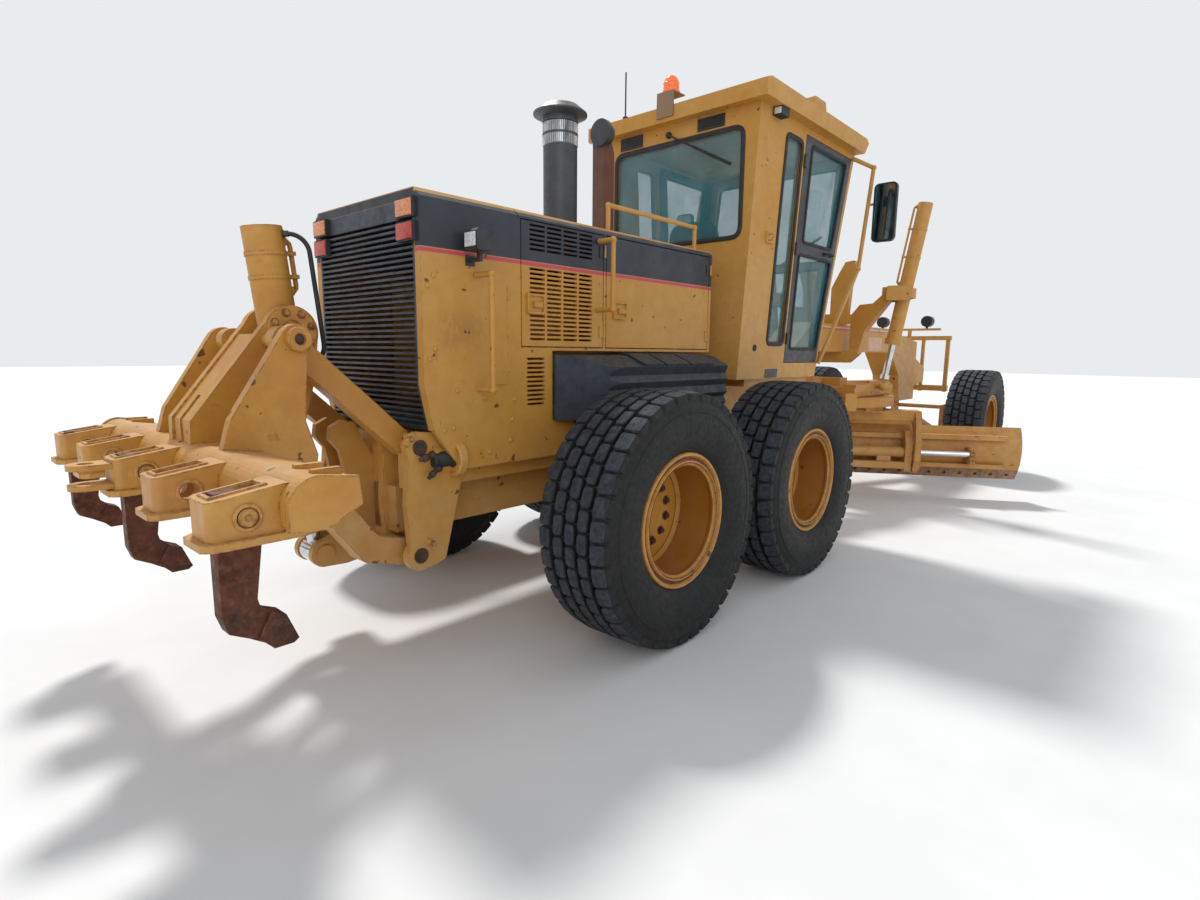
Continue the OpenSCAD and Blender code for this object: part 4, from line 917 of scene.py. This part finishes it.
# cab glass
cabForm = {
    "floor": 1330, "roof": 3236,
    "halfLow": 620, "halfHigh": 730, "sideSlope": 0.058,
    "frontLow": 2120, "frontHigh": 2440, "paneSlope": 0.16, "frontSlope": 0.166,
    "rear": 780,
    "glassThick": 6, "paneRadius": 28, "rearInset": 16, "frontInset": -22,
    "sealProud": 9,
    "sealSection": [(-0.5, -0.2), (-0.5, 0.55), (-0.3, 1.0), (0.3, 1.0), (0.5, 0.55), (0.5, -0.2)],
    # corners, inset of the pane, width and radius of the seal
    "sidePanes": {
        "side": (rectangle((1190, 1450), (1600, 3120)), 18, 34, 46),
        "doorUpper": ([(1620, 2410), (2170, 2410), (2285, 3130), (1620, 3130)], 16, 24, 34),
        "doorLower": ([(1580, 1565), (2085, 1565), (2190, 2310), (1580, 2310)], 16, 24, 34),
    },
    # ranges across and up, radius, width of the seal and whether it leans with the front
    "crossPanes": {
        "rearGlass": ((-600, 570), (2350, 3100), 76, 34, False),
        "windshield": ((-600, 600), (2330, 3140), 50, 30, True),
        "lowerGlassRight": ((-540, -60), (1560, 2270), 40, 24, True),
        "lowerGlassLeft": ((60, 540), (1560, 2270), 40, 24, True),
    },
}


def cabAt(low, high, z):
    # a measure that changes evenly from the cab's floor to its roof
    f = cabForm
    return f[low] + (f[high] - f[low]) * (z - f["floor"]) / (f["roof"] - f["floor"])


def cabSide(z):
    return cabAt("halfLow", "halfHigh", z)


def cabFront(z):
    return cabAt("frontLow", "frontHigh", z)


def sidewards(s):
    return (0, s, -cabForm["sideSlope"])


def sealStrip(name, loop, normal, width, body):
    # a flat rubber strip with round shoulders along a closed loop of metre points
    normal = Vector(normal).normalized()
    rings = []
    for i, p in enumerate(loop):
        across = (loop[(i + 1) % len(loop)] - loop[i - 1]).normalized().cross(normal)
        rings.append([p + across * width / 1000 * a + normal * cabForm["sealProud"] / 1000 * b
                      for a, b in cabForm["sealSection"]])
    buildPiece(name, "seal", body, (addRings, rings, True))


def makeCabGlass():
    f = cabForm
    for s, letter in sides:
        for part, (corners, inset, width, radius) in f["sidePanes"].items():
            body = "front" if part == "side" else "cab_door_" + letter
            outline = roundedOutline(corners, f["paneRadius"])
            outline = [at(x, s * (cabSide(z) - inset), z) for x, z in outline]
            pane = (addPlate, outline, (0, -s, f["sideSlope"]), f["glassThick"])
            buildPiece("%sGlass_%s" % (part, letter), "glass", body, pane, sharp=0)
            loop = [at(x, s * cabSide(z), z) for x, z in roundedOutline(corners, radius)]
            sealStrip("%sSeal_%s" % (part, letter), loop, sidewards(s), width, body)
    for name, (across, up, radius, width, lean) in f["crossPanes"].items():
        corners = roundedOutline(rectangle(across, up), radius)
        loop = [at(cabFront(z) if lean else f["rear"], y, z) for y, z in corners]
        inward = Vector((f["frontInset"] if lean else f["rearInset"], 0, 0)) / 1000
        outline = [p + inward for p in loop]
        pane = (addPlate, outline, (1, 0, -f["paneSlope"] if lean else 0), f["glassThick"])
        buildPiece(name, "glass", "front", pane, sharp=0)
        sealStrip(name + "Seal", loop, (1, 0, -f["frontSlope"]) if lean else (-1, 0, 0), width, "front")


makeCabGlass()
print("cab glass made")

# cab trim: vents, wipers, catches, plugs, plates and handles
cabTrim = {
    "vents": [((-446, -213), (3132, 3218)), ((298, 525), (3128, 3222))], "ventSlats": 5,
    "wiper": {"pivot": (45, 3161), "tip": (-512, 2856)},
    "frontWiper": {"pivot": (-60, 2296), "tip": (-520, 2560)},
    "wiperHub": [(0, -12), (24, -12), (24, 10), (16, 22), (0, 24)],
    "wiperBlade": [(-0.011, 0.0), (-0.006, 0.014), (0.006, 0.014), (0.011, 0.0), (0.003, -0.006),
                   (-0.003, -0.006)],
    "wiperStand": 0.022, "wiperArm": 0.007,
    "catch": ((1010, 1118), (2330, 2408)), "catchWire": 0.006,
    "plug": (1004, 1566), "plugProfile": [(0, -3), (26, -3), (26, 3), (21, 8), (0, 10)],
    "blankPlate": ((1205, 1405), (1336, 1404)),
    "handle": ((2040, 2170), 2362), "handleGrip": 0.009, "handleFoot": [(0, -2), (18, -2), (18, 5), (0, 7)],
}


def addWiper(bm, pivot, tip, normal):
    # an arm from its pivot to a blade that lies along it, both standing off the glass; metre points
    normal = Vector(normal).normalized()
    along = (tip - pivot).normalized()
    addLathe(bm, cabTrim["wiperHub"], pivot, normal, 20)
    lift = normal * cabTrim["wiperStand"]
    addTube(bm, [pivot + normal * 0.012, pivot + along * 0.05 + lift, pivot.lerp(tip, 0.55) + lift,
                 tip.lerp(pivot, 0.22) + lift * 0.6], cabTrim["wiperArm"], 8)
    across = along.cross(normal).normalized()
    addRings(bm, [[end + across * w + normal * h for w, h in cabTrim["wiperBlade"]]
                  for end in (pivot.lerp(tip, 0.40), tip)])


def dressVents():
    rear, n = cabForm["rear"], cabTrim["ventSlats"]
    boxes, bars = [], []
    for y, z in cabTrim["vents"]:
        boxes.append((addBox, (rear - 6, y[0], z[0]), (rear + 0.5, y[1], z[1]), 3))
        middle, wide = (y[0] + y[1]) / 2, y[1] - y[0]
        slats = [(z[0] + (k + 0.5) * (z[1] - z[0]) / n, (-1, 0, 0.35), (wide - 16, 12, 6)) for k in range(n)]
        edges = [(zk, (-1, 0, 0), (wide, 8, 7)) for zk in (z[0] + 5, z[1] - 5)]
        bars += [(at(rear - 5.5, middle, zk), axis, size, (0, 1, 0)) for zk, axis, size in slats + edges]
    buildPiece("cabVents", "blackPlastic", "front", *boxes, sharp=0)
    setHeads("cabVentSlats", "front", bars, "bar", "blackPlastic")


def dressWipers():
    rear, form = cabForm["rear"], cabTrim["wiper"]
    wipers = [(addWiper, at(rear - 4, *form["pivot"]), at(rear - 12, *form["tip"]), (-1, 0, 0))]
    (y0, z0), (y1, z1) = cabTrim["frontWiper"]["pivot"], cabTrim["frontWiper"]["tip"]
    for m in (1, -1):
        pivot, tip = at(cabFront(z0) + 2, m * y0, z0), at(cabFront(z1) + 10, m * y1, z1)
        wipers.append((addWiper, pivot, tip, (1, 0, -cabForm["frontSlope"])))
    buildPiece("wipers", "seal", "front", *wipers)


def dressCab():
    f = cabTrim
    dressVents()
    dressWipers()
    for s, letter in sides:
        out = sidewards(s)
        (x0, x1), (z0, z1) = f["catch"]
        y = cabSide((z0 + z1) / 2)
        loop = [(x0 + 24, s * (y + 8), z0 + 20), (x0 + 24, s * (y + 44), z0 + 22),
                (x0 + 26, s * (y + 48), z1 - 20), (x0 + 28, s * (y + 8), z1 - 18)]
        box = (addBox, (x0, s * (y - 4), z0), (x1, s * (y + 12), z1), 3)
        wire = (addTube, smoothPath(loop, 5), f["catchWire"], 8)
        buildPiece("doorCatch_" + letter, "cabPaint", "front", box, wire)
        x, z = f["plug"]
        plug = (addLathe, f["plugProfile"], at(x, s * cabSide(z), z), out, 24)
        buildPiece("cabPlug_" + letter, "seal", "front", plug)
        plate = (addPlate, [at(x, s * cabSide(z), z) for x, z in rectangle(*f["blankPlate"])], out, 3)
        buildPiece("cabPlate_" + letter, "doorBlack", "front", plate, sharp=0)
        # pull handle on the rail between the door's panes
        (x0, x1), z = f["handle"]
        y = cabSide(z)
        grip = [(x, s * (y + d), z) for x, d in ((x0, -2), (x0 + 4, 34), (x1 - 4, 34), (x1, -2))]
        grip = (addTube, smoothPath(grip, 6), f["handleGrip"])
        feet = [(addLathe, f["handleFoot"], at(x, s * y, z), out, 16) for x in (x0, x1)]
        buildPiece("doorHandle_" + letter, "seal", "cab_door_" + letter, grip, *feet)


dressCab()

# lenses: material, body, face, range out from the middle, range up and depth
lampForms = {
    "boxes": {
        "tailLens": ("red", "rear", -1814, (346, 472), (2019, 2091), 7),
        "turnLens": ("orangeLamp", "rear", -1814, (346, 472), (2121, 2193), 7),
        "workLens": ("lampGlass", "rear", -1580, (542, 622), (2001, 2065), 5),
        "roofLens": ("lampGlass", "front", 950, (740, 793), (3186, 3229), 5),
    },
    "head": (6510, 300, 1985),
    "headProfile": [(0, -2), (66, -2), (66, 3), (59.4, 9), (39.6, 15), (19.8, 18), (0, 19)],
    "mirrorX": 2410, "mirrorY": (944, 1106), "mirrorZ": (2494, 2946), "mirrorRadius": 30,
}


def makeLenses():
    f = lampForms
    for s, letter in sides:
        for name, (mat, body, x, y, z, depth) in f["boxes"].items():
            box = (addBox, (x - depth, s * y[0], z[0]), (x + 0.5, s * y[1], z[1]), 4)
            buildPiece(name + "_" + letter, mat, body, box)
        x, y, z = f["head"]
        lens = (addLathe, f["headProfile"], at(x, s * y, z), (1, 0, 0), 32)
        buildPiece("headLens_" + letter, "lampGlass", "front", lens)
        outline = roundedOutline(rectangle(f["mirrorY"], f["mirrorZ"]), f["mirrorRadius"])
        face = (addPlate, [at(f["mirrorX"] + 0.5, s * y, z) for y, z in outline], (-1, 0, 0), 4)
        buildPiece("mirrorGlass_" + letter, "mirrorGlass", "front", face, sharp=0)


makeLenses()
print("lamps made")

# exhaust sleeve
sleeveForm = {
    "centre": (-330, 100), "radius": 110.5, "low": 2838, "high": 2978,
    "fins": 56, "finWide": 10, "finThick": 4,
}


def makeSleeve():
    f = sleeveForm
    cx, cy = f["centre"]
    middle, size = (f["low"] + f["high"]) / 2, (f["high"] - f["low"], f["finWide"], f["finThick"])
    places = [(at(cx + f["radius"] * u, cy + f["radius"] * v, middle), (u, v, 0), size, (0, 0, 1))
              for u, v in around(f["fins"])]
    setHeads("stackFins", "rear", places, "bar", "sleeve")


makeSleeve()

# bolts on the hood and the tandem's chain cases
hoodTrim = {
    "face": 500, "head": 25,
    "panel": [(-1730, 1863), (-1763, 1816), (-1730, 1532), (-1760, 1484), (-1612, 1335), (-1450, 1293),
              (-1254, 1277), (-1640, 1156), (-1690, 1148), (-1271, 1174), (-1284, 1066), (-1298, 965),
              (-1423, 1017)],
}
tandemTrim = {"face": 814, "half": 491, "round": 112, "axle": 670, "straight": 8, "corner": 3, "head": 20}


def dressHood():
    f = hoodTrim
    places = [(at(x, s * f["face"], z), (0, s, 0), f["head"]) for s in (-1, 1) for x, z in f["panel"]]
    setHeads("hoodBolts", "rear", places, "round", "hoodPaint")
    f = tandemTrim
    half, radius = f["half"], f["round"]
    spots = [(-half + 2 * half * k / f["straight"], side * radius)
             for k in range(f["straight"] + 1) for side in (-1, 1)]
    for a in [math.pi * k / (f["corner"] + 1) for k in range(1, f["corner"] + 1)]:
        spots += [(end * (half + radius * math.sin(a)), radius * math.cos(a)) for end in (-1, 1)]
    places = [(at(x, s * f["face"], f["axle"] + up), (0, s, 0), f["head"])
              for s in (-1, 1) for x, up in spots]
    setHeads("chainCaseBolts", "rear", places, "hex", "wornPaint")


dressHood()

# ripper fixings; the turned profiles are pairs of radius and distance out
ripperTrim = {
    "pitch": 515, "half": 80, "pin": (-2798, 1040),
    "pocketRing": [(31, -1), (42, -1), (42, 7), (38, 10), (33, 10), (31, 8), (31, -1)],
    "shankPin": [(0, -4), (28, -4), (28, 1), (25, 4), (10, 4), (8, 1), (0, 1)], "shankPinOut": 8,
    "slotX": (-2872, -2738), "slotHalf": 34, "slope": 0.1395, "slotRim": (15, 8), "slotTop": (-2905, 1096),
    "mastPin": (-2327, 1564), "mastFace": 455,
    "mastRing": [(24, -2), (50, -2), (50, 3), (44, 8), (30, 8), (24, 4), (24, -2)],
    "mastPinEnd": [(0, -16), (22, -16), (22, -14), (0, -14)],
    "trunnion": (-2222, 1600), "trunnionFace": 140,
    "trunnionBolts": 8, "trunnionCircle": 86, "trunnionHead": 24,
    "trunnionRing": [(50, -1), (108, -1), (108, 5), (104, 8), (56, 8), (50, 5), (50, -1)],
    "bracketFace": 440, "bracketPin": [(0, -2), (38, -2), (38, 5), (35, 8), (20, 8), (18, 3), (0, 3)],
    # a pin's place and its keeper's, from the pin
    "bracketPins": [((-1800, 545), (55, 46)), ((-1790, 1070), (-52, 44))],
    "keeper": (74, 34, 10), "keeperBolt": 20,
}


def slotTop(x):
    x0, z0 = ripperTrim["slotTop"]
    return z0 - 1 + ripperTrim["slope"] * (x - x0)


def dressPockets():
    # the rings at the pockets' pins, the pins of the shanks that are fitted and the rims of the slots
    f = ripperTrim
    rings, pins, bars = [], [], []
    x0, x1 = f["slotX"]
    mid, up = (x0 + x1) / 2, (-f["slope"], 0, 1)
    x, z = f["pin"]
    for i in range(-2, 3):
        middle = i * f["pitch"]
        for s in (-1, 1):
            y = middle + s * f["half"]
            rings.append((addLathe, f["pocketRing"], at(x, y, z), (0, s, 0), 28))
            if i % 2 == 0:
                pins.append((addLathe, f["shankPin"], at(x, y + s * f["shankPinOut"], z), (0, s, 0), 24))
            rim = at(mid, middle + s * (f["slotHalf"] + 8), slotTop(mid))
            bars.append((rim, up, (x1 - x0 + 34, *f["slotRim"]), (1, 0, f["slope"])))
        for end in (x0 - 9, x1 + 9):
            rim = at(end, middle, slotTop(end))
            bars.append((rim, up, (2 * f["slotHalf"] + 30, *f["slotRim"]), (0, 1, 0)))
    setHeads("slotRims", "ripper_beam", bars, "bar", "wornPaint")
    return rings, pins


def dressRipper():
    f = ripperTrim
    rings, pins = dressPockets()
    dark, bolts = [], []
    for s in (-1, 1):
        x, z = f["mastPin"]
        mast, axis = at(x, s * f["mastFace"], z), (0, s, 0)
        dark.append((addLathe, f["mastPinEnd"], mast, axis, 20))
        x, z = f["trunnion"]
        rings += [(addLathe, f["mastRing"], mast, axis, 28),
                  (addLathe, f["trunnionRing"], at(x, s * f["trunnionFace"], z), axis, 40)]
        bolts += [(at(x + u, s * (f["trunnionFace"] + 8), z + v), axis, f["trunnionHead"])
                  for u, v in around(f["trunnionBolts"], f["trunnionCircle"], 0.4)]
    buildPiece("ripperRings", "wornPaint", "ripper_beam", *rings)
    buildPiece("shankPins", "pinPaint", "ripper_beam", *pins)
    buildPiece("mastPinEnds", "greasy", "ripper_beam", *dark)
    setHeads("trunnionBolts", "ripper_beam", bolts, "hex", "pinPaint")


def dressBrackets():
    # pin ends and their keepers on the frame's brackets
    f = ripperTrim
    pins, keepers, bolts = [], [], []
    for s in (-1, 1):
        y, axis = s * f["bracketFace"], (0, s, 0)
        for (x, z), (dx, dz) in f["bracketPins"]:
            pins.append((addLathe, f["bracketPin"], at(x, y, z), axis, 28))
            keepers.append((at(x + dx, y, z + dz), axis, f["keeper"], (dz, 0, -dx)))
            bolts.append((at(x + dx + 4, y + s * 10, z + dz + 4), axis, f["keeperBolt"]))
    buildPiece("bracketPins", "greasy", "rear", *pins)
    setHeads("pinKeepers", "rear", keepers, "bar", "wornPaint")
    setHeads("keeperBolts", "rear", bolts, "hex", "pinPaint")


dressRipper()
dressBrackets()

# couplings of the ripper's oil lines on the right bracket; stub and nut are in the stub's own radii
couplingForm = {
    "centre": (-1600, -452, 1004),
    "flange": [(0, 18), (86, 18), (92, 12), (92, -22), (85, -30), (76, -30), (72, -20), (30, -16), (0, -16)],
    "boot": [(0, -10), (46, -14), (46, -30), (40, -36), (40, -92), (35, -100), (35, -126), (28, -132),
             (0, -134)],
    "stubs": [((-1712, -440, 1030), (-1, -0.35, -0.12), 19), ((-1690, -452, 968), (-1, -0.45, -0.42), 17)],
    "stub": [(0, -30), (0.8, -30), (0.8, -6), (1, 0), (1, 26), (0.72, 30), (0.72, 58), (0.95, 60), (0.95, 78),
             (0.6, 82), (0.6, 104), (0, 106)],
    "nut": [(1, 6), (1.25, 8), (1.25, 22), (1, 24), (1, 6)],
}


def dressCoupling():
    f = couplingForm
    centre, ahead = at(*f["centre"]), (1, 0, 0)
    buildPiece("lineFlange", "paint", "rear", (addLathe, f["flange"], centre, ahead, 44))
    buildPiece("lineBoot", "seal", "rear", (addLathe, f["boot"], centre, ahead, 28))
    fittings = [(addLathe, [(r * share, out) for share, out in f[part]], at(*point), axis, segments)
                for point, axis, r in f["stubs"] for part, segments in (("stub", 20), ("nut", 6))]
    buildPiece("lineFittings", "greasy", "rear", *fittings)


dressCoupling()
print("ripper fixings made")

# bolts on the blade, in its own frame: a place on its back and front with the normal there, and the clamps'
bladeTrim = {
    "centreX": 3720, "yaw": 30, "shift": 120, "half": 2040, "pitch": 153, "head": 28,
    "back": ((-181, 272), (-0.918, -0.396)), "front": ((-163, 279), (0.947, 0.319)),
    "clampU": -430, "clampV": (-1627, -1603), "clampZ": (420, 462, 502, 542), "clampHead": 24,
}


def onBlade(u, v, z):
    # a point of the blade's own frame, in the frame's metres
    a = math.radians(bladeTrim["yaw"])
    v += bladeTrim["shift"]
    return at(bladeTrim["centreX"] + u * math.cos(a) - v * math.sin(a), u * math.sin(a) + v * math.cos(a), z)


def dressBlade():
    f = bladeTrim
    a = math.radians(f["yaw"])
    count = int(2 * f["half"] / f["pitch"]) + 1
    for side, head in (("back", "hex"), ("front", "round")):
        (u, z), (nu, nz) = f[side]
        axis = (nu * math.cos(a), nu * math.sin(a), nz)
        places = [(onBlade(u, -f["half"] + k * f["pitch"], z), axis, f["head"]) for k in range(count)]
        setHeads("edgeBolts" + side.capitalize(), "moldboard", places, head, "rusty")
    back = (-math.cos(a), -math.sin(a), 0)
    places = [(onBlade(f["clampU"], v, z), back, f["clampHead"]) for v in f["clampV"] for z in f["clampZ"]]
    setHeads("clampBolts", "moldboard", places, "hex", "pinPaint")


dressBlade()

# pipes on the cylinders; low and high are distances down a barrel
cylinderTrim = {
    "top": (3940, 900, 3065), "eye": (3866.8, 627.7, 1185),
    "radius": 70, "reach": (0, 880), "side": (-0.4, -1, 0),
    "ripperRadius": 84, "ripperReach": (-440, -120), "ripperSide": (1, 0, 0),
    "pipe": 11, "stand": 27, "port": [(0, -6), (21, -6), (21, 10), (15, 14), (0, 14)],
    "clamps": (0.3, 0.62), "clampBlock": (0.02, 0.009),
    "clampBand": [(-2, -9), (4, -9), (4, 9), (-2, 9), (-2, -9)],
    # distance in from the port and share of the full stand, at the pipe's bends
    "bend": [(12, 0.93), (30, 1.0)], "bendLow": 0.6, "portDepth": 0.004, "portIn": (40, 60),
    "hoseEnd": [(0, -8), (20, -8), (20, 8), (14, 10), (14, 28), (0, 28)], "hoseEndOut": (80, 100),
}


def addPipedBarrel(bm, start, towards, low, high, radius, side):
    # a steel pipe beside a barrel, from a port near one end to a port near the other, with its clamps
    f = cylinderTrim
    along = (towards - start).normalized()
    out = (side - along * side.dot(along)).normalized()
    r, stand = f["pipe"] / 1000, f["stand"] / 1000

    def spot(s, lift):
        return start + along * s / 1000 + out * (radius / 1000 + lift)

    first, last = low + f["portIn"][0], high - f["portIn"][1]
    route = []
    for end, way in ((first, 1), (last, -1)):
        bends = [(end, -f["portDepth"]), (end, stand * f["bendLow"])]
        bends += [(end + way * s, stand * share) for s, share in f["bend"]]
        route += [spot(*place) for place in (bends if way > 0 else reversed(bends))]
    addTube(bm, route, r)
    for s in (first, last):
        addLathe(bm, f["port"], spot(s, 0), out, 16)
    across = along.cross(out)
    long, wide = f["clampBlock"]
    ends = [across * u * long + along * v * wide for u, v in ((1, -1), (1, 1), (-1, 1), (-1, -1))]
    for s in [low + (high - low) * share for share in f["clamps"]]:
        band = [(radius + out, distance) for out, distance in f["clampBand"]]
        addLathe(bm, band, start + along * s / 1000, along, 40)
        addRings(bm, [[spot(s, lift) + e for e in ends] for lift in (0.001, stand + r + 0.003)])


def dressCylinders():
    f, hose = cylinderTrim, mastHoseForm
    for s, letter in sides:
        top, eye, side = ((x, s * y, z) for x, y, z in (f["top"], f["eye"], f["side"]))
        pipe = (addPipedBarrel, at(*top), at(*eye), *f["reach"], f["radius"], Vector(side))
        buildPiece("liftPipe_" + letter, "paint", "lift_barrel_" + letter, pipe)
    top, eye, side = at(*hose["trunnion"]), at(*hose["eye"]), Vector(f["ripperSide"])
    pipe = (addPipedBarrel, top, eye, *f["ripperReach"], f["ripperRadius"], side)
    buildPiece("ripperPipe", "wornPaint", "ripper_barrel", pipe)
    ends = [[mastPoint(s, out) for out in f["hoseEndOut"]] for s in (hose["top"], hose["bottom"])]
    ends = [(addLathe, f["hoseEnd"], foot, tip - foot, 20) for foot, tip in ends]
    buildPiece("hoseEnds", "greasy", "ripper_barrel", *ends)


dressCylinders()

# blank plate on the arch
archPlate = {"x": (4625, 5070), "z": (1568, 1728), "half": 170, "radius": 10, "thick": 2}


def makeArchPlate():
    f = archPlate
    outline = roundedOutline(rectangle(f["x"], f["z"]), f["radius"], 3)
    plate = (addPlate, [at(x, -f["half"], z) for x, z in outline], (0, -1, 0), f["thick"])
    buildPiece("archPlate", "plate", "front", plate, sharp=0)


makeArchPlate()
print("fixings made")

# seat and controls
seatForm = {
    "cushion": {"centre": (1400, 0, 1805), "half": (255, 245, 66), "tilt": 4, "thin": 2},
    "back": {"centre": (1112, 0, 2215), "half": (68, 235, 350), "tilt": -8, "thin": 0},
    "channels": (-0.52, 0.52), "channelDepth": 0.14, "channelWidth": 0.055,
    "steps": 26, "corner": 5.0, "edge": 0.42, "fullness": 0.035,
    # opposite corners and bevel of the boxes under it, and the bars that carry the back
    "stand": [((1215, -190, 1712), (1585, 190, 1752), 8), ((1270, -140, 1376), (1530, 140, 1716), 14),
              ((1030, -120, 1700), (1230, 120, 1740), 8)],
    "bars": [(1090, 60, 1730), (1060, 60, 1850), (1075, 60, 2150)], "barRadius": 0.018,
}
controls = {
    "console": [(1900, 1376), (2020, 1376), (1990, 1900), (1870, 2068), (1828, 2056), (1900, 1850)],
    "consoleHalf": 100,
    "leverBank": ((1862, 104, 1935), (1950, 232, 1990)), "levers": 4, "leverOut": 122, "leverPitch": 30,
    "lever": ((1905, 1985), (1885, 2090)), "leverRadius": 0.005,
    "knobAt": (1882, 2106), "knobAxis": (-0.19, 0, 0.98),
    "knob": [(0, -16), (9, -14), (14, -4), (14, 6), (9, 14), (0, 17)],
    "hubAt": (1850, 0, 2070), "hub": [(0, -30), (26, -30), (34, -10), (34, 6), (24, 16), (0, 18)],
    "wheelTilt": 35, "wheelRadius": 0.2, "rimRadius": 0.014,
    "spokes": 3, "spoke": [(0.025, 0), (0.11, 0.006), (0.195, 0)], "spokeRadius": 0.010,
}


def addCushion(bm, form):
    # a crowned pad: a fine cube drawn out to a soft box, thin along one axis, with two sewn channels
    f = seatForm
    n, thin = f["steps"], form["thin"]
    flat = [i for i in range(3) if i != thin]
    half = Vector(form["half"]) / 1000
    turn = Matrix.Rotation(math.radians(form["tilt"]), 4, "Y")
    centre = at(*form["centre"])
    points = {}

    def vertex(p):
        key = tuple(round(c, 5) for c in p)
        if key not in points:
            # outline with round corners
            u, v = p[flat[0]], p[flat[1]]
            norm = (abs(u) ** f["corner"] + abs(v) ** f["corner"]) ** (1 / f["corner"])
            scale = max(abs(u), abs(v)) / norm if norm > 1e-6 else 1.0
            u, v = u * scale, v * scale
            # crown: full in the middle, thin at the edge
            edge = abs(u) ** 4 + abs(v) ** 4
            w = p[thin] * (f["edge"] + (1 - f["edge"]) * max(0.0, 1 - edge) ** 0.5)
            for channel in f["channels"]:
                w *= 1 - f["channelDepth"] * math.exp(-((v - channel) / f["channelWidth"]) ** 2)
            drawIn = 1 - f["fullness"] * p[thin] ** 2
            q = Vector((0, 0, 0))
            q[flat[0]], q[flat[1]], q[thin] = u * drawIn, v * drawIn, w
            points[key] = bm.verts.new(centre + turn @ (q * half))
        return points[key]

    grid = [-1 + 2 * i / n for i in range(n + 1)]
    cells = [(i, j) for i in range(n) for j in range(n)]
    for axis, end, (i, j) in [(axis, end, cell) for axis in range(3) for end in (-1, 1) for cell in cells]:
        quad = []
        for a, b in ((i, j), (i + 1, j), (i + 1, j + 1), (i, j + 1)):
            p = [0, 0, 0]
            p[axis], p[(axis + 1) % 3], p[(axis + 2) % 3] = end, grid[a], grid[b]
            quad.append(vertex(p))
        if len(set(quad)) == 4:
            bm.faces.new(quad)


def makeSeat():
    for name in ("cushion", "back"):
        pad = (addCushion, seatForm[name])
        piece = buildPiece("seat" + name.capitalize(), "seat", "front", pad, sharp=60)
        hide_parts("cab_seat")


def makeControls():
    # the seat's stand, the steering console with a lever bank on each side of it, and the wheel
    f = controls
    half = f["consoleHalf"]
    parts = [(addBox, *box) for box in seatForm["stand"]]
    parts.append((addPlate, [at(x, -half, z) for x, z in f["console"]], (0, 1, 0), 2 * half))
    for s in (-1, 1):
        bar = smoothPath([(x, s * y, z) for x, y, z in seatForm["bars"]], 5)
        parts.append((addTube, bar, seatForm["barRadius"], 8))
        parts.append((addBox, *[(x, s * y, z) for x, y, z in f["leverBank"]], 8))
        for y in [s * (f["leverOut"] + f["leverPitch"] * k) for k in range(f["levers"])]:
            parts.append((addTube, [at(x, y, z) for x, z in f["lever"]], f["leverRadius"], 8))
            parts.append((addLathe, f["knob"], at(f["knobAt"][0], y, f["knobAt"][1]), f["knobAxis"], 14))
    buildPiece("seatStand", "cabTrim", "front", *parts)
    tilt = math.radians(f["wheelTilt"])
    hub, axis, side = at(*f["hubAt"]), Vector((-math.sin(tilt), 0, math.cos(tilt))), Vector((0, 1, 0))
    other = axis.cross(side)
    rim = [hub + u * other + v * side for u, v in around(48, f["wheelRadius"])]
    parts = [(addTube, rim, f["rimRadius"], 10, True), (addLathe, f["hub"], hub, axis, 24)]
    for u, v in around(f["spokes"], 1, 0.75):
        ray = u * other + v * side
        spoke = [hub + ray * out - axis * sink for out, sink in f["spoke"]]
        parts.append((addTube, spoke, f["spokeRadius"], 8))
    buildPiece("steeringWheel", "blackPlastic", "front", *parts)


makeSeat()
makeControls()
print("seat made")
for part in heads.values():
    bpy.data.objects.remove(part)

# light and floor
studio = {
    "skyStrength": 0.62,
    "skyColour": (0.86, 0.92, 1.0, 1),
    "shownStrength": 0.95,
    "shownColour": (0.86, 0.88, 0.90, 1),
    # direction, strength and angle of the suns
    "keyLight": ((0.30, 0.66, 1.0), 2.6, 7.0),
    "fillLight": ((-0.8, -0.75, 0.55), 0.55, 40),
    "floorColour": (0.80, 0.79, 0.77, 1),
    "floorSecond": (0.76, 0.75, 0.73, 1),
    "floorHalf": 60,
}


def lightStudio():
    for name in ("keyLight", "fillLight"):
        towards, strength, angle = studio[name]
        data = bpy.data.lights.new(name, "SUN")
        data.energy = strength
        data.angle = math.radians(angle)
        newObject(name, data).rotation_euler = Vector(towards).to_track_quat("Z", "Y").to_euler()
    world = bpy.data.worlds.new("studio")
    scene.world = world
    world.use_nodes = True
    tree = world.node_tree
    tree.nodes.clear()
    rays = addNode(tree, "ShaderNodeLightPath").outputs
    seen = calc(tree, "MAXIMUM", rays["Is Camera Ray"], rays["Is Glossy Ray"])
    seen = calc(tree, "MAXIMUM", seen, rays["Is Transmission Ray"])
    mix = addNode(tree, "ShaderNodeMixShader", Fac=seen)
    for i, part in ((1, "sky"), (2, "shown")):
        background = addNode(tree, "ShaderNodeBackground", Color=studio[part + "Colour"],
                             Strength=studio[part + "Strength"])
        tree.links.new(background.outputs[0], mix.inputs[i])
    addNode(tree, "ShaderNodeOutputWorld", Surface=mix.outputs[0])
    scene.view_settings.view_transform = "Standard"


def layFloor():
    size = studio["floorHalf"]
    mesh = bpy.data.meshes.new("floor")
    mesh.from_pydata([(x, y, 0) for x, y in rectangle((-size, size), (-size, size))], [], [(0, 1, 2, 3)])
    floor = newObject("floor", mesh)
    mat, tree = newMaterial("floorPale")
    tone = patches(tree, 0, (1.4, 4, 0.6), (0.3, 0.7))
    setShader(tree, BaseColor=blend(tree, tone, studio["floorColour"], studio["floorSecond"]), Roughness=0.9)
    mesh.materials.append(mat)


lightStudio()
layFloor()
